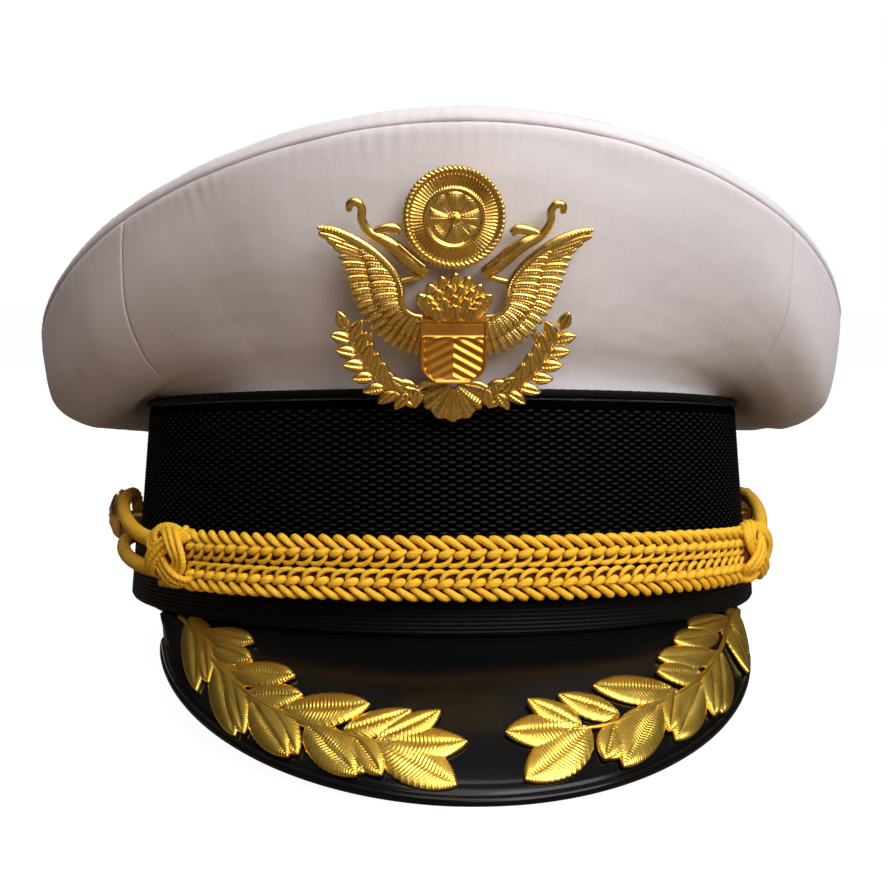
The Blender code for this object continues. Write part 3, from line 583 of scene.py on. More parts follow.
# a darker copy of the gold yarn for the cord cores: painted shade in the holes between the lobes and strands
YARN_PAINTED_SHADE = gold_yarn("gold_yarn_painted_shade", (0.17, 0.045, 0.003))
GILT = gilt("gilt_polished", (0.86, 0.60, 0.165), 0.25)
GILT_MATT = gilt("gilt_satin", (0.74, 0.39, 0.07), 0.40, 0.05, 1500)
LEAF = gilt("gilt_leaf", (0.92, 0.64, 0.115), 0.34, 0.02, 1200)
BUTTON = gilt("gilt_button", (1.0, 0.66, 0.20), 0.22, 0.04, 700)
BRASS = gilt("brass_hardware", (0.86, 0.60, 0.22), 0.32, 0.05, 800, 0.8)
BOARD = board("fibre_board")
LEATHER = leather("tan_sweat_leather", (0.16, 0.075, 0.038), 560)
PIPING = leather("dark_piping", (0.03, 0.02, 0.015), 900)
STEEL = steel("spring_steel")
FELT = felt("pad_felt")
SATIN = satin("black_satin", (0.022, 0.022, 0.028))
VINYL = vinyl("clear_vinyl")
BINDING = satin("binding_tape", (0.015, 0.015, 0.018))

# ---------------------------------------------------------------- crown
def seam(v):
    return SEAM_FOOT + (SEAM_RIM - SEAM_FOOT) * v


def running(p):
    """Arc length along axis 1 of a grid, and what is left of it to the end."""
    step = np.linalg.norm(np.diff(p, axis=1), axis=-1)
    run = np.concatenate([np.zeros((len(p), 1)), np.cumsum(step, 1)], 1)
    return run, run[:, -1:] - run


def wall_cloth(name, start, end, nu, nv, seed):
    u = np.linspace(0, 1, nu)[:, None]
    k = np.linspace(0, 1, nv)[None, :]
    v = k + 0.035 * np.sin(2 * PI * k)          # rows close up towards both edges
    a, b = start(v), end(v)
    deg = a + (b - a) * u
    p = wall(rad(deg), 0.998 * v)
    n = grid_normals(p)
    out = np.stack([np.sin(rad(deg)), -np.cos(rad(deg)), 0 * deg], -1)
    # the wall turns under at the sides, so the sign comes from its upper half
    if (n[:, nv * 3 // 4] * out[:, nv * 3 // 4]).sum() < 0:
        n = -n
    run, left = running(p)
    edge = np.minimum(u, 1 - u) * (b - a) * 1.95
    s = rad(deg) * 112.0
    d = -0.16 * np.exp(-((edge / 0.5) ** 2)) - 0.50 * np.exp(-((left / 0.8) ** 2))
    gather = 0.55 + 0.45 * wobble(s, 0 * s, seed, 26)
    d = d + 0.20 * gather * np.exp(-left / 3.6) * (1 - np.exp(-left / 0.8)) * np.sin(2 * PI * s / 3.3 + 1.4 * wobble(s, run, seed + 1, 19))
    d = d + 0.05 * np.exp(-edge / 4.0) * (1 - np.exp(-edge / 0.7)) * np.sin(2 * PI * run / 4.1 + 1.3 * wobble(run, s, seed + 2, 23))
    away = smooth(edge / 14) * smooth(left / 10) * smooth(run / 8)
    d = d + 0.30 * away * wobble(s, run, seed + 3, 46) + 0.05 * away * wobble(s, run, seed + 4, 9)
    p = p + n * d[..., None]
    piece = Piece()
    uvs = np.stack([s, run], -1)
    piece.shell(p, p - n * 0.85, uv=uvs)
    return piece, p, n


front, front_p, front_n = wall_cloth("crown_front", lambda v: 0.02 - seam(v), lambda v: seam(v) - 0.02, 300, 84, 11)
front.build("front_wall_cloth", WHITE, "cap", "white_cloth", ["crown_front_panel"])
left_side, left_p, left_n = wall_cloth("crown_left", lambda v: seam(v) + 0.02, lambda v: 179.88 + 0 * v, 340, 92, 21)
left_side.build("left_wall_cloth", WHITE, "cap", "white_cloth", ["crown_left_panel"])
right_side, right_p, right_n = wall_cloth("crown_right", lambda v: -179.88 + 0 * v, lambda v: -seam(v) - 0.02, 340, 92, 31)
right_side.build("right_wall_cloth", WHITE, "cap", "white_cloth", ["crown_right_panel"])

# top panel: a rolled edge over the hoop, then the stretched sheet
N_TOP = 900
phi = np.linspace(0, 2 * PI, N_TOP, endpoint=False)[:, None]
r0 = rim(phi)
roll_deg = np.array([[-7.0, -2.0, 4.0, 9.0, 15.0, 22.0, 30.0, 38.0, 46.0, 54.0, 62.0, 70.0, 78.0, 86.0]])
roll_in = np.array([[0.62, 0.30, 0.10, 0.02] + [0.0] * 10])
ang = rad(roll_deg)
rr = RIM_R - roll_in
s_arc = phi * 120.0
gather = 0.6 + 0.4 * wobble(s_arc, 0 * s_arc, 5, 30)
pucker = gather * np.sin(2 * PI * s_arc / 3.5 + 1.6 * np.sin(phi * 23 + 1) + 1.1 * np.sin(phi * 41))
rr = rr + 0.17 * pucker * np.sin(np.clip(ang, 0, PI / 2) * 1.6 + 0.25) * np.exp(-ang * 0.6) + 0.12 * wobble(s_arc, ang * 12, 6, 24)
roll = np.stack([r0[..., 0] + rr * np.cos(ang) * np.sin(phi), r0[..., 1] - rr * np.cos(ang) * np.cos(phi), r0[..., 2] + rr * np.sin(ang)], -1)
s = (np.linspace(1, 0.01, 46) ** 0.85)[None, :]
flat = tip_sheet(phi, s)
inner_edge = (1 - s) * 120
flat[..., 2] += 0.16 * np.exp(-inner_edge / 9) * (gather * np.sin(2 * PI * s_arc / 7.0 + 1.5 * np.sin(phi * 13))) * smooth(inner_edge / 3)
flat[..., 2] += 0.35 * smooth(inner_edge / 20) * wobble(flat[..., 0], flat[..., 1], 8, 60) * smooth(s / 0.2)
flat[..., 2] += 0.12 * wobble(s_arc, 0 * s_arc + 12, 6, 24) * np.exp(-inner_edge / 6)
top = np.concatenate([roll, flat], 1)
top_n = grid_normals(top, closed=True)
if top_n[:, 30, 2].mean() < 0:
    top_n = -top_n
# the sheet's inside is 0.85 mm in; near the rim it runs round the roll
piece = Piece()
around = np.concatenate([phi, [[2 * PI]]])
uv_roll = np.stack(np.broadcast_arrays(around * 120, np.degrees(ang) * 0.066), -1)
wrap = np.concatenate([flat, flat[:1]], 0)
uv_flat = np.stack([wrap[..., 0] + 4000, wrap[..., 1]], -1)
uv_top = np.concatenate([uv_roll, uv_flat], 1)
uv_top[:, roll_deg.shape[1] - 1] = uv_roll[:, -1]
piece.shell(top, top - top_n * 0.85, closed=True, cap=True, uv=uv_top)
piece.build("top_panel_cloth", WHITE, "cap", "white_cloth", ["crown_top_panel"])


def stitch_line(piece, path, normal, pitch, length, radius, closed=False, lift=0.35, sides=6, jitter=0.0, seed=0):
    """Thread stitches along a path, each a short arched tube that goes into the cloth at both ends."""
    path, normal = np.asarray(path, float), np.asarray(normal, float)
    if closed:
        path, normal = np.concatenate([path, path[:1]]), np.concatenate([normal, normal[:1]])
    step = np.linalg.norm(np.diff(path, axis=0), axis=1)
    run = np.concatenate([[0], np.cumsum(step)])
    count = int(run[-1] / pitch)
    mid = (np.arange(count) + 0.5) * run[-1] / count
    k = np.linspace(-1, 1, 7)
    at = mid[:, None] + k[None] * length / 2
    if jitter:
        rng = np.random.RandomState(seed)
        at = at + rng.uniform(-jitter, jitter, (count, 1))
    at = np.clip(at, 0, run[-1])
    pick = lambda a: np.stack([np.interp(at, run, a[:, i]) for i in range(3)], -1)
    c, n = pick(path), unit(pick(normal))
    c = c + n * (lift * (1 - k**2)[None, :, None] - radius * 1.2 * (k**6)[None, :, None])
    r = radius * np.sqrt(np.clip(1 - (np.abs(k) * 0.93) ** 4, 0.02, 1))[None]
    piece.tubes(c, r, n, sides=sides)


# stitching: rim seam all round
threads = Piece()
ring = np.linspace(0, 2 * PI, 720, endpoint=False)
edge_n = np.stack([np.sin(ring), -np.cos(ring), 0 * ring - 0.25], -1)
r1 = rim(ring)
seam_path = np.stack([r1[:, 0] + 3.02 * np.sin(ring), r1[:, 1] - 3.02 * np.cos(ring), r1[:, 2] - 0.02], -1)
stitch_line(threads, seam_path, unit(edge_n), 1.9, 1.4, 0.20, closed=True, lift=0.10, jitter=0.14)
threads.build("crown_stitches", THREAD, "cap", "white_cloth")

# ---------------------------------------------------------------- band
def ring_shell(name, outer, thick, low, high, nu, nv, mat, slot, node, relief=None, body="cap", spread=None, edge=0.25):
    phi = np.linspace(0, 2 * PI, nu, endpoint=False)[:, None]
    k = np.linspace(0, 1, nv)[None] if spread is None else spread
    z = low(phi) + (high(phi) - low(phi)) * k
    p = oval(phi, outer, z)
    n = grid_normals(p, closed=True)
    if (n[0, nv // 2] @ np.array([0, -1, 0])) < 0:
        n = -n
    rise = np.zeros((nu, nv))
    run = np.minimum(z - low(phi), high(phi) - z)
    if edge:
        rise = rise - edge * np.exp(-((run / 0.4) ** 2))
    arc = phi * (outer + OVAL_EXTRA / 2)
    if relief is not None:
        rise = rise + relief(arc, z, run)
    q = p + n * rise[..., None]
    piece = Piece()
    around = np.concatenate([arc, [[2 * PI * (outer + OVAL_EXTRA / 2)]]])
    uvs = np.stack(np.broadcast_arrays(around, np.concatenate([z, z[:1]])), -1)
    piece.shell(q, p - n * thick, closed=True, uv=uvs)
    return piece.build(name, mat, body, slot, node), q, n


def honeycomb(arc, z, run):
    """Brick-staggered bars of a mohair braid: raised dashes joined by slanting yarns, with pits between."""
    x, y = arc / CELL_W, (z - 9.4) / ROW_H
    c = np.cos(2 * PI * x) * np.cos(PI * y)
    return (0.20 * c - 0.08) * smooth(run / 0.8) * smooth((BAND_TOP - 1.6 - z) / 1.0)


braid_ob, _, _ = ring_shell("honeycomb_braid", 89.8, 1.15, lambda p: 9.4 + 0 * p, lambda p: BAND_TOP + 0 * p, CELLS * 6, ROWS * 2 + 1, BRAID, "black_braid", ["band_braid"], honeycomb)


def ribbed(arc, z, run):
    return 0.10 * np.cos(2 * PI * z / 1.0) * smooth(run / 1.4) - 0.05


belt_ob, belt_p, belt_n = ring_shell("ribbed_belt", 91.2, 1.05, lambda p: foot(p) + 0.3, lambda p: BELT_TOP + 0 * p, 420, 101, RIBBON, "black_ribbon", ["base_belt"], ribbed, edge=0.45)
ring_shell("frame_board_band", 87.9, 1.45, lambda p: foot(p), lambda p: 54.6 + 0 * p, 300, 14, BOARD, "frame_board", ["frame_band"], lambda a, z, run: 0.05 * wobble(a, z, 3, 14), edge=0.1)

ring = np.linspace(0, 2 * PI, 420, endpoint=False)
welt_path = oval(ring, 89.55, BAND_TOP + 1.5)
out = unit(np.stack([np.sin(ring), -np.cos(ring), 0 * ring], -1))
piece = Piece()
piece.tubes(welt_path[None], (1.1 + 0.05 * np.sin(ring * 170))[None], out[None], sides=14, closed=True)
piece.build("band_top_welt_cord", WELT, "cap", "black_ribbon", ["band_top_welt"])

# sweatband: leather, turned at its lower edge over the piping, with a row of stitches
phi = np.linspace(0, 2 * PI, 420, endpoint=False)[:, None]
k = np.linspace(0, 1, 30)[None]
z = foot(phi) + 0.2 + (SWEAT_TOP - foot(phi) - 0.2) * k
p = oval(phi, 84.5, z)
n = grid_normals(p, closed=True)
if n[0, 15, 1] > 0:
    n = -n
arc = phi * 90.0
soft = 0.28 * wobble(arc, z, 17, 38) * smooth((z - 6) / 14)
groove = -0.22 * np.exp(-(((z - foot(phi) - 3.4) / 0.5) ** 2)) * (0.75 + 0.25 * np.cos(2 * PI * arc / 2.6))
inner = p - n * (0.95 + soft + groove)[..., None]
piece = Piece()
uvs = np.stack(np.broadcast_arrays(np.concatenate([arc, [[2 * PI * 90]]]), np.concatenate([z, z[:1]])), -1)
piece.shell(p - n * np.maximum(soft, 0)[..., None] * 0.6, inner, closed=True, uv=uvs)
stitches = Piece()
line = 3.4 + foot(ring)
path = oval(ring, 83.5 + 0.12, line)
stitch_line(stitches, path, -out, 2.6, 2.0, 0.20, closed=True, lift=0.22)
piece.build("sweatband_leather", LEATHER, "cap", "leather", ["sweatband"])
stitches.build("sweatband_stitches", THREAD, "cap", "leather")
piece = Piece()
path = oval(ring, 85.9, foot(ring)) - np.array([0, 0, 1.2])
piece.tubes(path[None], (0.8 + 0.03 * np.sin(ring * 200))[None], out[None], sides=12, closed=True)
piece.build("sweatband_piping_cord", PIPING, "cap", "leather", ["sweatband_piping"])

# ---------------------------------------------------------------- lining and sweat shield
phi = np.linspace(0, 2 * PI, 360, endpoint=False)[:, None]


def dome(angle, offset=0.0):
    reach = np.maximum(np.cos(angle), 0) ** LINING_ROUND
    x, y = LINING_A * reach * np.sin(phi), -LINING_B * reach * np.cos(phi)
    return np.stack([x, y, lining_height(x, y)], -1)


ang = rad(36.0) * np.linspace(0, 1, 26)[None] ** 1.5
p = dome(ang)
n = grid_normals(p, closed=True)
if n[0, 3, 1] > 0:
    n = -n
fold = 0.45 * np.sin(phi * 58 + 1.2 * np.sin(phi * 7)) * (0.35 + 0.65 * smooth(ang / rad(36.0))) * (0.7 + 0.3 * np.sin(phi * 11))
p = p - n * (0.45 + np.maximum(fold, -0.3))[..., None] * 0.8
piece = Piece()
piece.shell(p, p - n * 0.35, closed=True)
piece.build("lining_side_gathered", SATIN, "cap", "lining_satin", ["lining_side"])
ang = rad(36.9 + (90 - 36.9) * np.linspace(0, 0.995, 30)[None] ** 0.8)
p = dome(ang)
n = grid_normals(p, closed=True)
if n[0, 8, 2] < 0:
    n = -n
sag = 0.35 * (1 + wobble(p[..., 0], p[..., 1], 44, 40)) * smooth((ang - rad(36.9)) / rad(12))
p = p - n * sag[..., None]
piece = Piece()
piece.shell(p, p - n * 0.35, closed=True, cap=True)
piece.build("lining_tip_satin", SATIN, "cap", "lining_satin", ["lining_tip"])

phi = np.linspace(0, 2 * PI, 160, endpoint=False)[:, None]
k = np.linspace(1, 0.01, 26)[None]
x, y = 52 * k * np.sin(phi), -4 - 64 * k * np.cos(phi)
p = np.stack([x, y, lining_height(x, y) - 2.5 + 0.25 * wobble(x, y, 4, 50)], -1)
p[..., 2] = np.minimum(p[..., 2], lining_height(x, y) - 2.35)
piece = Piece()
piece.shell(p, p - np.array([0, 0, 0.3]), closed=True, cap=True)
piece.build("sweat_shield_vinyl", VINYL, "cap", "clear_vinyl", ["sweat_shield"])
piece = Piece()
piece.tubes(p[None, :, 0] - np.array([0, 0, 0.15]), 0.62, np.array([0, 0, 1.0]), sides=10, closed=True, flat=0.7)
piece.build("sweat_shield_binding", BINDING, "cap", "lining_satin")

# front pad behind the badge
u = np.linspace(-34, 34, 90)[:, None]
v = np.linspace(0.42, 0.95, 46)[None]
p = wall(rad(u), v)
n = grid_normals(p)
if n[45, 20, 1] > 0:
    n = -n
eu, ev = np.minimum(u + 34, 34 - u) * 1.95, np.minimum(v - 0.42, 0.95 - v) * 55
crown_of = np.sqrt(smooth(np.minimum(eu, ev) / 3.0))
quilt = 0.22 * np.maximum(np.exp(-((((u * 1.95 + v * 55) / 11) % 1 - 0.5) ** 2) * 110), np.exp(-((((u * 1.95 - v * 55) / 11) % 1 - 0.5) ** 2) * 110))
piece = Piece()
piece.shell(p - n * (1.6 + 0.5 * (1 - crown_of))[..., None], p - n * (1.6 + 0.5 + 1.25 * crown_of - quilt * crown_of)[..., None])
piece.build("front_pad_felt", FELT, "cap", "front_pad", ["front_pad"])

# ---------------------------------------------------------------- visor
nt_, nv_ = 260, 78
t = np.linspace(-0.972, 0.972, nt_)[:, None]
v = np.concatenate([np.linspace(0, 0.90, 50), np.linspace(0.905, 1.0, nv_ - 50)])[None]
p = visor(t, v)
n = visor_normal(t, v)
run, left = running(p)
# a crimped groove runs 2.3 mm inside the lip
groove = 0.05 * np.exp(-(((left - 2.6) / 0.6) ** 2)) + 0.22 * np.exp(-((left / 0.6) ** 2))
sidelong = np.minimum(t + 0.972, 0.972 - t) * 95
groove = groove + 0.3 * np.exp(-((sidelong / 0.6) ** 2))
wave = 0.10 * wobble(t * 95, v * 48, 71, 44) * smooth(left / 5) * smooth(v / 0.15)
top_face = p + n * (wave - groove)[..., None]
bottom = p - n * (VISOR_T - 0.05)
ph = rad(VISOR_PHI) * t[:, 0]
end = smooth((np.abs(t[:, 0]) - 0.90) / 0.07)   # the stitched-in flange fades out towards the horns
flange = np.stack([oval(ph, 89.7, 8.6 - 6.5 * end), oval(ph, 89.7, 4.5 - 2.6 * end), oval(ph, 89.7, foot(ph) + 0.6 - 0.3 * end), oval(ph, 90.0, foot(ph) - 0.3)], 1)
flange_in = np.stack([oval(ph, 88.6, 8.6 - 6.5 * end), oval(ph, 88.6, 4.5 - 2.6 * end), oval(ph, 88.5, foot(ph) + 0.2 - 0.1 * end), oval(ph, 88.5, foot(ph) - 1.2)], 1)
piece = Piece()
piece.shell(np.concatenate([flange, top_face], 1), np.concatenate([flange_in, bottom], 1))
piece.build("visor_patent_shell", PATENT, "cap", "black_patent", ["visor_shell"], sharp=50)

tb = np.linspace(-0.965, 0.965, 320)
lip, before = visor(tb, 1.0), visor(tb, 0.9)
away = unit(lip - before)
path = lip + away * 0.55 - np.array([0, 0, 0.85])
bead_r = 1.12 * np.clip(np.sqrt(np.clip(1 - np.abs(np.linspace(-1, 1, 320)) ** 22, 0.03, 1)), 0, 1)
piece = Piece()
piece.tubes(path[None], bead_r[None], away[None], sides=16)
piece.build("visor_edge_binding", PATENT, "cap", "black_patent", ["visor_edge_bead"])

t = (np.linspace(-1, 1, 150) * 0.91)[:, None]
v = (0.10 + 0.84 * np.linspace(0, 1, 40))[None]
p, n = visor(t, v), visor_normal(t, v)
ed = np.minimum(np.minimum(t + 0.91, 0.91 - t) * 95, np.minimum(v - 0.10, 0.94 - v) * 46)
hem = 0.18 * np.exp(-(((ed - 1.6) / 0.35) ** 2))
piece = Piece()
piece.shell(p - n * (VISOR_T + 0.55), p - n * (VISOR_T + 1.25 - 0.3 * np.exp(-(ed / 0.5) ** 2) - hem)[..., None])
piece.build("visor_under_leatherette", UNDER, "cap", "visor_under", ["visor_lining"])


# ---------------------------------------------------------------- leaves and feathers
def blade(piece, put, length, half, rows=40, cols=17, bend=0.0, depth=1.0, ribs=0.9, rib_depth=0.10, rib_slant=1.1, groove=0.35, base=0.15, lift0=0.0, lift1=0.0, shape=(0.62, 1.0), blunt=0.0, edge=0.25, cup=0.0, mat=0, serrate=0.0):
    """A leaf or feather from s = 0 to its tip: two crowned halves beside a midrib groove, with slanting ribs. put(x, y, h) places it."""
    s = np.linspace(0, 1, rows)[:, None]
    s = s + 0.02 * np.sin(2 * PI * s)
    c = np.sin(np.linspace(-PI / 2, PI / 2, cols))[None]
    a, b = shape
    peak = a / (a + b)
    width = (s**a * (1 - s) ** b) / (peak**a * (1 - peak) ** b)
    if blunt:
        width = (1 - blunt) * width + blunt * np.sqrt(np.clip(1 - (2 * s - 1) ** 2, 0, 1)) ** 0.6
    width = np.maximum(width, 0.0)
    w = half * width
    phase = s * length - np.abs(c) * w * rib_slant
    if serrate:
        w = w * (1 + serrate * np.cos(2 * PI * phase / (ribs * 2)))
    x = c * w + bend * half * np.sin(PI * s) * 1.0
    y = s * length + 0 * c
    body = np.sqrt(np.clip(1 - c**2 * 0.985, 0, 1))
    two = 1 - groove * np.exp(-((c / 0.16) ** 2)) * smooth(s * 6) * smooth((1 - s) * 4) - cup * (1 - np.abs(c)) ** 1.5
    height = depth * body * two * (0.35 + 0.65 * np.sqrt(np.clip(width, 0, 1)))
    height = height + rib_depth * np.cos(2 * PI * phase / ribs) * body * smooth(width * 2.5) * (1 - np.exp(-((c / 0.12) ** 2)))
    lift = base + lift0 * (1 - s) + lift1 * s
    outer = put(x, y, lift + np.maximum(height, 0) + edge)
    inner = put(x, y, lift + 0 * height)
    piece.shell(outer, inner, mat=mat)


def plane_put(place3d, origin, angle, mirror=1.0):
    """put() for a flat piece: origin (x, y), y axis of the blade at this angle from +X, in degrees."""
    ca, sa = math.cos(math.radians(angle)), math.sin(math.radians(angle))

    def put(x, y, h):
        gx, gy = origin[0] + ca * y + sa * x, origin[1] + sa * y - ca * x
        return place3d(mirror * gx, gy, h)

    return put


def visor_put(t0, v0, t1, v1):
    """put() on the visor's top face, and the blade's length."""
    tm, vm = (t0 + t1) / 2, (v0 + v1) / 2
    dt = (visor(tm + 0.01, vm) - visor(tm - 0.01, vm)) / 0.02
    dv = (visor(tm, vm + 0.01) - visor(tm, vm - 0.01)) / 0.02
    jac = np.stack([dt, dv], 1)
    inv = np.linalg.pinv(jac)
    ahead = visor(t1, v1) - visor(t0, v0)
    length = float(np.linalg.norm(ahead))
    side = unit(np.cross(ahead, visor_normal(tm, vm)))
    step = inv @ side

    def put(x, y, h):
        x, y, h = np.broadcast_arrays(x, y, h)
        f = y / length
        tt, vv = t0 + (t1 - t0) * f + step[0] * x, v0 + (v1 - v0) * f + step[1] * x
        return visor(tt, vv) + visor_normal(tt, vv) * h[..., None]

    return put, length


# each leaf: base and tip as (t, v) on the visor, then the half width in mm
LEAVES_RIGHT = [
    (-0.800, -0.05, -0.665, 0.82, 2.9), (-0.71, 0.26, -0.63, 0.70, 1.9), (-0.715, 0.16, -0.55, 0.17, 2.3), (-0.67, 0.33, -0.53, 0.365, 2.2),
    (-0.625, 0.49, -0.515, 0.975, 3.0), (-0.57, 0.575, -0.49, 0.935, 2.1), (-0.58, 0.52, -0.41, 0.42, 2.8), (-0.49, 0.70, -0.38, 0.965, 2.7),
    (-0.52, 0.69, -0.38, 0.55, 2.6), (-0.44, 0.70, -0.36, 0.93, 2.4), (-0.35, 0.745, -0.24, 0.965, 3.1), (-0.41, 0.68, -0.23, 0.55, 3.5),
    (-0.31, 0.75, -0.225, 0.94, 2.5), (-0.27, 0.73, -0.14, 0.56, 2.6), (-0.245, 0.76, -0.19, 0.94, 2.3), (-0.20, 0.75, -0.08, 0.56, 2.6),
    (-0.20, 0.76, -0.057, 0.95, 3.7), (-0.205, 0.76, -0.034, 0.73, 3.3),
]
LEAVES_LEFT = [
    (0.89, -0.10, 0.835, 0.90, 2.3), (0.82, 0.08, 0.63, 0.08, 2.4), (0.80, 0.275, 0.765, 0.975, 2.9), (0.72, 0.28, 0.545, 0.21, 2.5),
    (0.68, 0.48, 0.58, 0.955, 2.9), (0.66, 0.47, 0.47, 0.33, 2.7), (0.61, 0.61, 0.545, 0.93, 2.1), (0.57, 0.60, 0.44, 0.45, 2.6),
    (0.55, 0.665, 0.42, 0.93, 2.7), (0.46, 0.61, 0.27, 0.45, 3.2), (0.465, 0.61, 0.405, 0.86, 2.0), (0.41, 0.66, 0.28, 0.96, 3.1),
    (0.36, 0.665, 0.26, 0.90, 2.4), (0.30, 0.67, 0.18, 0.48, 2.7), (0.28, 0.72, 0.24, 0.90, 2.1), (0.21, 0.69, 0.11, 0.50, 2.6),
    (0.226, 0.70, 0.085, 0.93, 3.7), (0.20, 0.69, 0.058, 0.68, 3.3),
]
for name, leaves, node, stem in (
    ("laurel_spray_right", LEAVES_RIGHT, "leaf_spray_right", [(-0.84, -0.02), (-0.74, 0.26), (-0.66, 0.45), (-0.56, 0.60), (-0.46, 0.69), (-0.36, 0.73), (-0.27, 0.75), (-0.18, 0.77)]),
    ("laurel_spray_left", LEAVES_LEFT, "leaf_spray_left", [(0.91, -0.04), (0.80, 0.22), (0.71, 0.44), (0.60, 0.58), (0.48, 0.65), (0.37, 0.68), (0.27, 0.71), (0.18, 0.70)]),
):
    piece = Piece()
    for i, (t0, v0, t1, v1, half) in enumerate(leaves):
        put, length = visor_put(t0, v0, t1, v1)
        blade(piece, put, length * 1.06, half * 1.46, rows=max(60, int(length * 8.5)), cols=23, bend=0.05 * (1 if i % 2 else -1), depth=1.15, ribs=0.86, rib_depth=0.15, rib_slant=1.0, groove=0.42, base=0.15, lift0=0.0, lift1=0.12 + 0.17 * (i % 4), shape=(0.66, 0.78), edge=0.22, serrate=0.016)
    st = np.array(stem)
    k = np.linspace(0, 1, 90)
    tt, vv = catmull([np.array(x) for x in st[:, 0]], k), catmull([np.array(x) for x in st[:, 1]], k)
    vv = np.maximum(vv, 0.0)
    n = visor_normal(tt, vv)
    piece.tubes((visor(tt, vv) + n * 1.0)[None], (0.62 - 0.25 * k)[None], n[None], sides=10, flat=0.9)
    piece.build(name, LEAF, "cap", "gilt_leaf", [node], sharp=60)


# ---------------------------------------------------------------- chin cord
def cord_frame(deg, z, a=CORD_A, flat_z=9.0):
    """Point, forward (towards +phi) and outward of the cord's path at each angle and height."""
    ph = rad(deg)
    p = oval(ph, a, flat_z + 0 * ph)
    p[..., 2] = z
    d = 0.002
    q = oval(ph + d, a, flat_z + 0 * ph)
    q[..., 2] = z
    ahead = unit(q - p)
    out = unit(np.cross(ahead, np.array([0, 0, 1.0])))
    flipped = (out * np.stack([np.sin(ph), -np.cos(ph), 0 * ph], -1)).sum(-1, keepdims=True) < 0
    return p, ahead, np.where(flipped, -out, out)


def lobes(piece, centre, ahead, out, up, offsets, radii, reach, flat=1.0, sides=10, mat=0):
    """Yarn lobes at each centre: offsets is a path of (along, up, out) in mm that every lobe follows."""
    path = np.asarray(offsets, float)
    k = np.linspace(0, 1, reach)
    x, y, z = (catmull([np.array(q) for q in path[:, i]], k) for i in range(3))
    r = catmull([np.array(q) for q in radii], k)
    r = r * np.sqrt(np.clip(1 - (np.abs(2 * k - 1)) ** 7, 0.04, 1))
    c = centre[:, None] + ahead[:, None] * x[None, :, None] + up[:, None] * y[None, :, None] + out[:, None] * z[None, :, None]
    piece.tubes(c, r[None], np.broadcast_to(out[:, None], c.shape), sides=sides, flat=flat, mat=mat)


def plait(piece, centre, ahead, out, up, size=1.0, mirror=1.0, seed=1, thin=True):
    """One plaited cord: slanting long lobes on its upper side, short ones under them that meet in chevrons, and thin hooks along the bottom."""
    rng = np.random.RandomState(seed)
    n = len(centre)
    jig = lambda a: rng.uniform(-a, a, (n, 1))
    g = size
    c = centre + up * jig(0.10 * g) + ahead * jig(0.12 * g) + out * jig(0.06 * g)
    m = mirror
    # long lobes over the top edge: round and thick behind, tapering as they dive under the next
    lobes(piece, c, ahead, out, up, [(-2.9 * g, 2.35 * g * m, -0.6 * g), (-2.05 * g, 2.98 * g * m, 0.35 * g), (-0.75 * g, 2.62 * g * m, 1.15 * g), (0.75 * g, 1.62 * g * m, 1.35 * g), (2.1 * g, 0.75 * g * m, 1.0 * g), (2.8 * g, 0.3 * g * m, 0.3 * g)], [0.72 * g, 0.88 * g, 0.92 * g, 0.82 * g, 0.64 * g, 0.45 * g], 19)
    # short fat ovals in the middle, their points tucked under the long lobes
    lobes(piece, c, ahead, out, up, [(0.35 * g, -0.98 * g * m, 0.35 * g), (1.05 * g, -0.80 * g * m, 1.15 * g), (2.15 * g, -0.45 * g * m, 1.5 * g), (3.2 * g, 0.0, 1.2 * g), (3.9 * g, 0.35 * g * m, 0.5 * g)], [0.72 * g, 0.98 * g, 1.0 * g, 0.78 * g, 0.45 * g], 15)
    if thin:   # crescents along the lower edge, that leave dark holes between them and the ovals
        lobes(piece, c, ahead, out, up, [(3.15 * g, -0.75 * g * m, 0.5 * g), (2.95 * g, -1.5 * g * m, 1.05 * g), (2.3 * g, -2.45 * g * m, 1.15 * g), (1.1 * g, -3.12 * g * m, 1.0 * g), (-0.45 * g, -3.30 * g * m, 0.6 * g), (-1.9 * g, -2.8 * g * m, -0.1 * g)], [0.40 * g, 0.50 * g, 0.58 * g, 0.64 * g, 0.62 * g, 0.45 * g], 17, sides=8)
    else:
        lobes(piece, c, ahead, out, up, [(-2.9 * g, -2.35 * g * m, -0.6 * g), (-2.05 * g, -2.98 * g * m, 0.35 * g), (-0.75 * g, -2.62 * g * m, 1.15 * g), (0.75 * g, -1.62 * g * m, 1.35 * g), (2.1 * g, -0.75 * g * m, 1.0 * g)], [0.72 * g, 0.88 * g, 0.92 * g, 0.82 * g, 0.5 * g], 15)
    # back lobes close the cord towards the band
    lobes(piece, c, ahead, out, up, [(0.6 * g, 2.2 * g * m, -0.6 * g), (0.0, 1.2 * g * m, -1.25 * g), (-0.6 * g, 0.0, -1.4 * g), (-1.2 * g, -1.4 * g * m, -1.2 * g), (-1.8 * g, -2.3 * g * m, -0.5 * g)], [0.7 * g, 0.9 * g, 0.95 * g, 0.9 * g, 0.7 * g], 9, sides=6)


def core(piece, path, out, height, depth, mat=1):
    # mat 1 is the darker yarn copy, so the core paints shade into the holes
    piece.tubes(path[None], np.full((1, len(path)), height), out[None], sides=12, flat=depth / height, mat=mat)


def cord_arc(deg0, deg1, z0, pitch):
    fine = np.linspace(deg0, deg1, 600)
    p, _, _ = cord_frame(fine, z0 + 0 * fine)
    run = np.concatenate([[0], np.cumsum(np.linalg.norm(np.diff(p, axis=0), axis=1))])
    count = max(2, int(round(run[-1] / pitch)))
    return np.interp(np.linspace(0, run[-1], count + 1), run, fine)


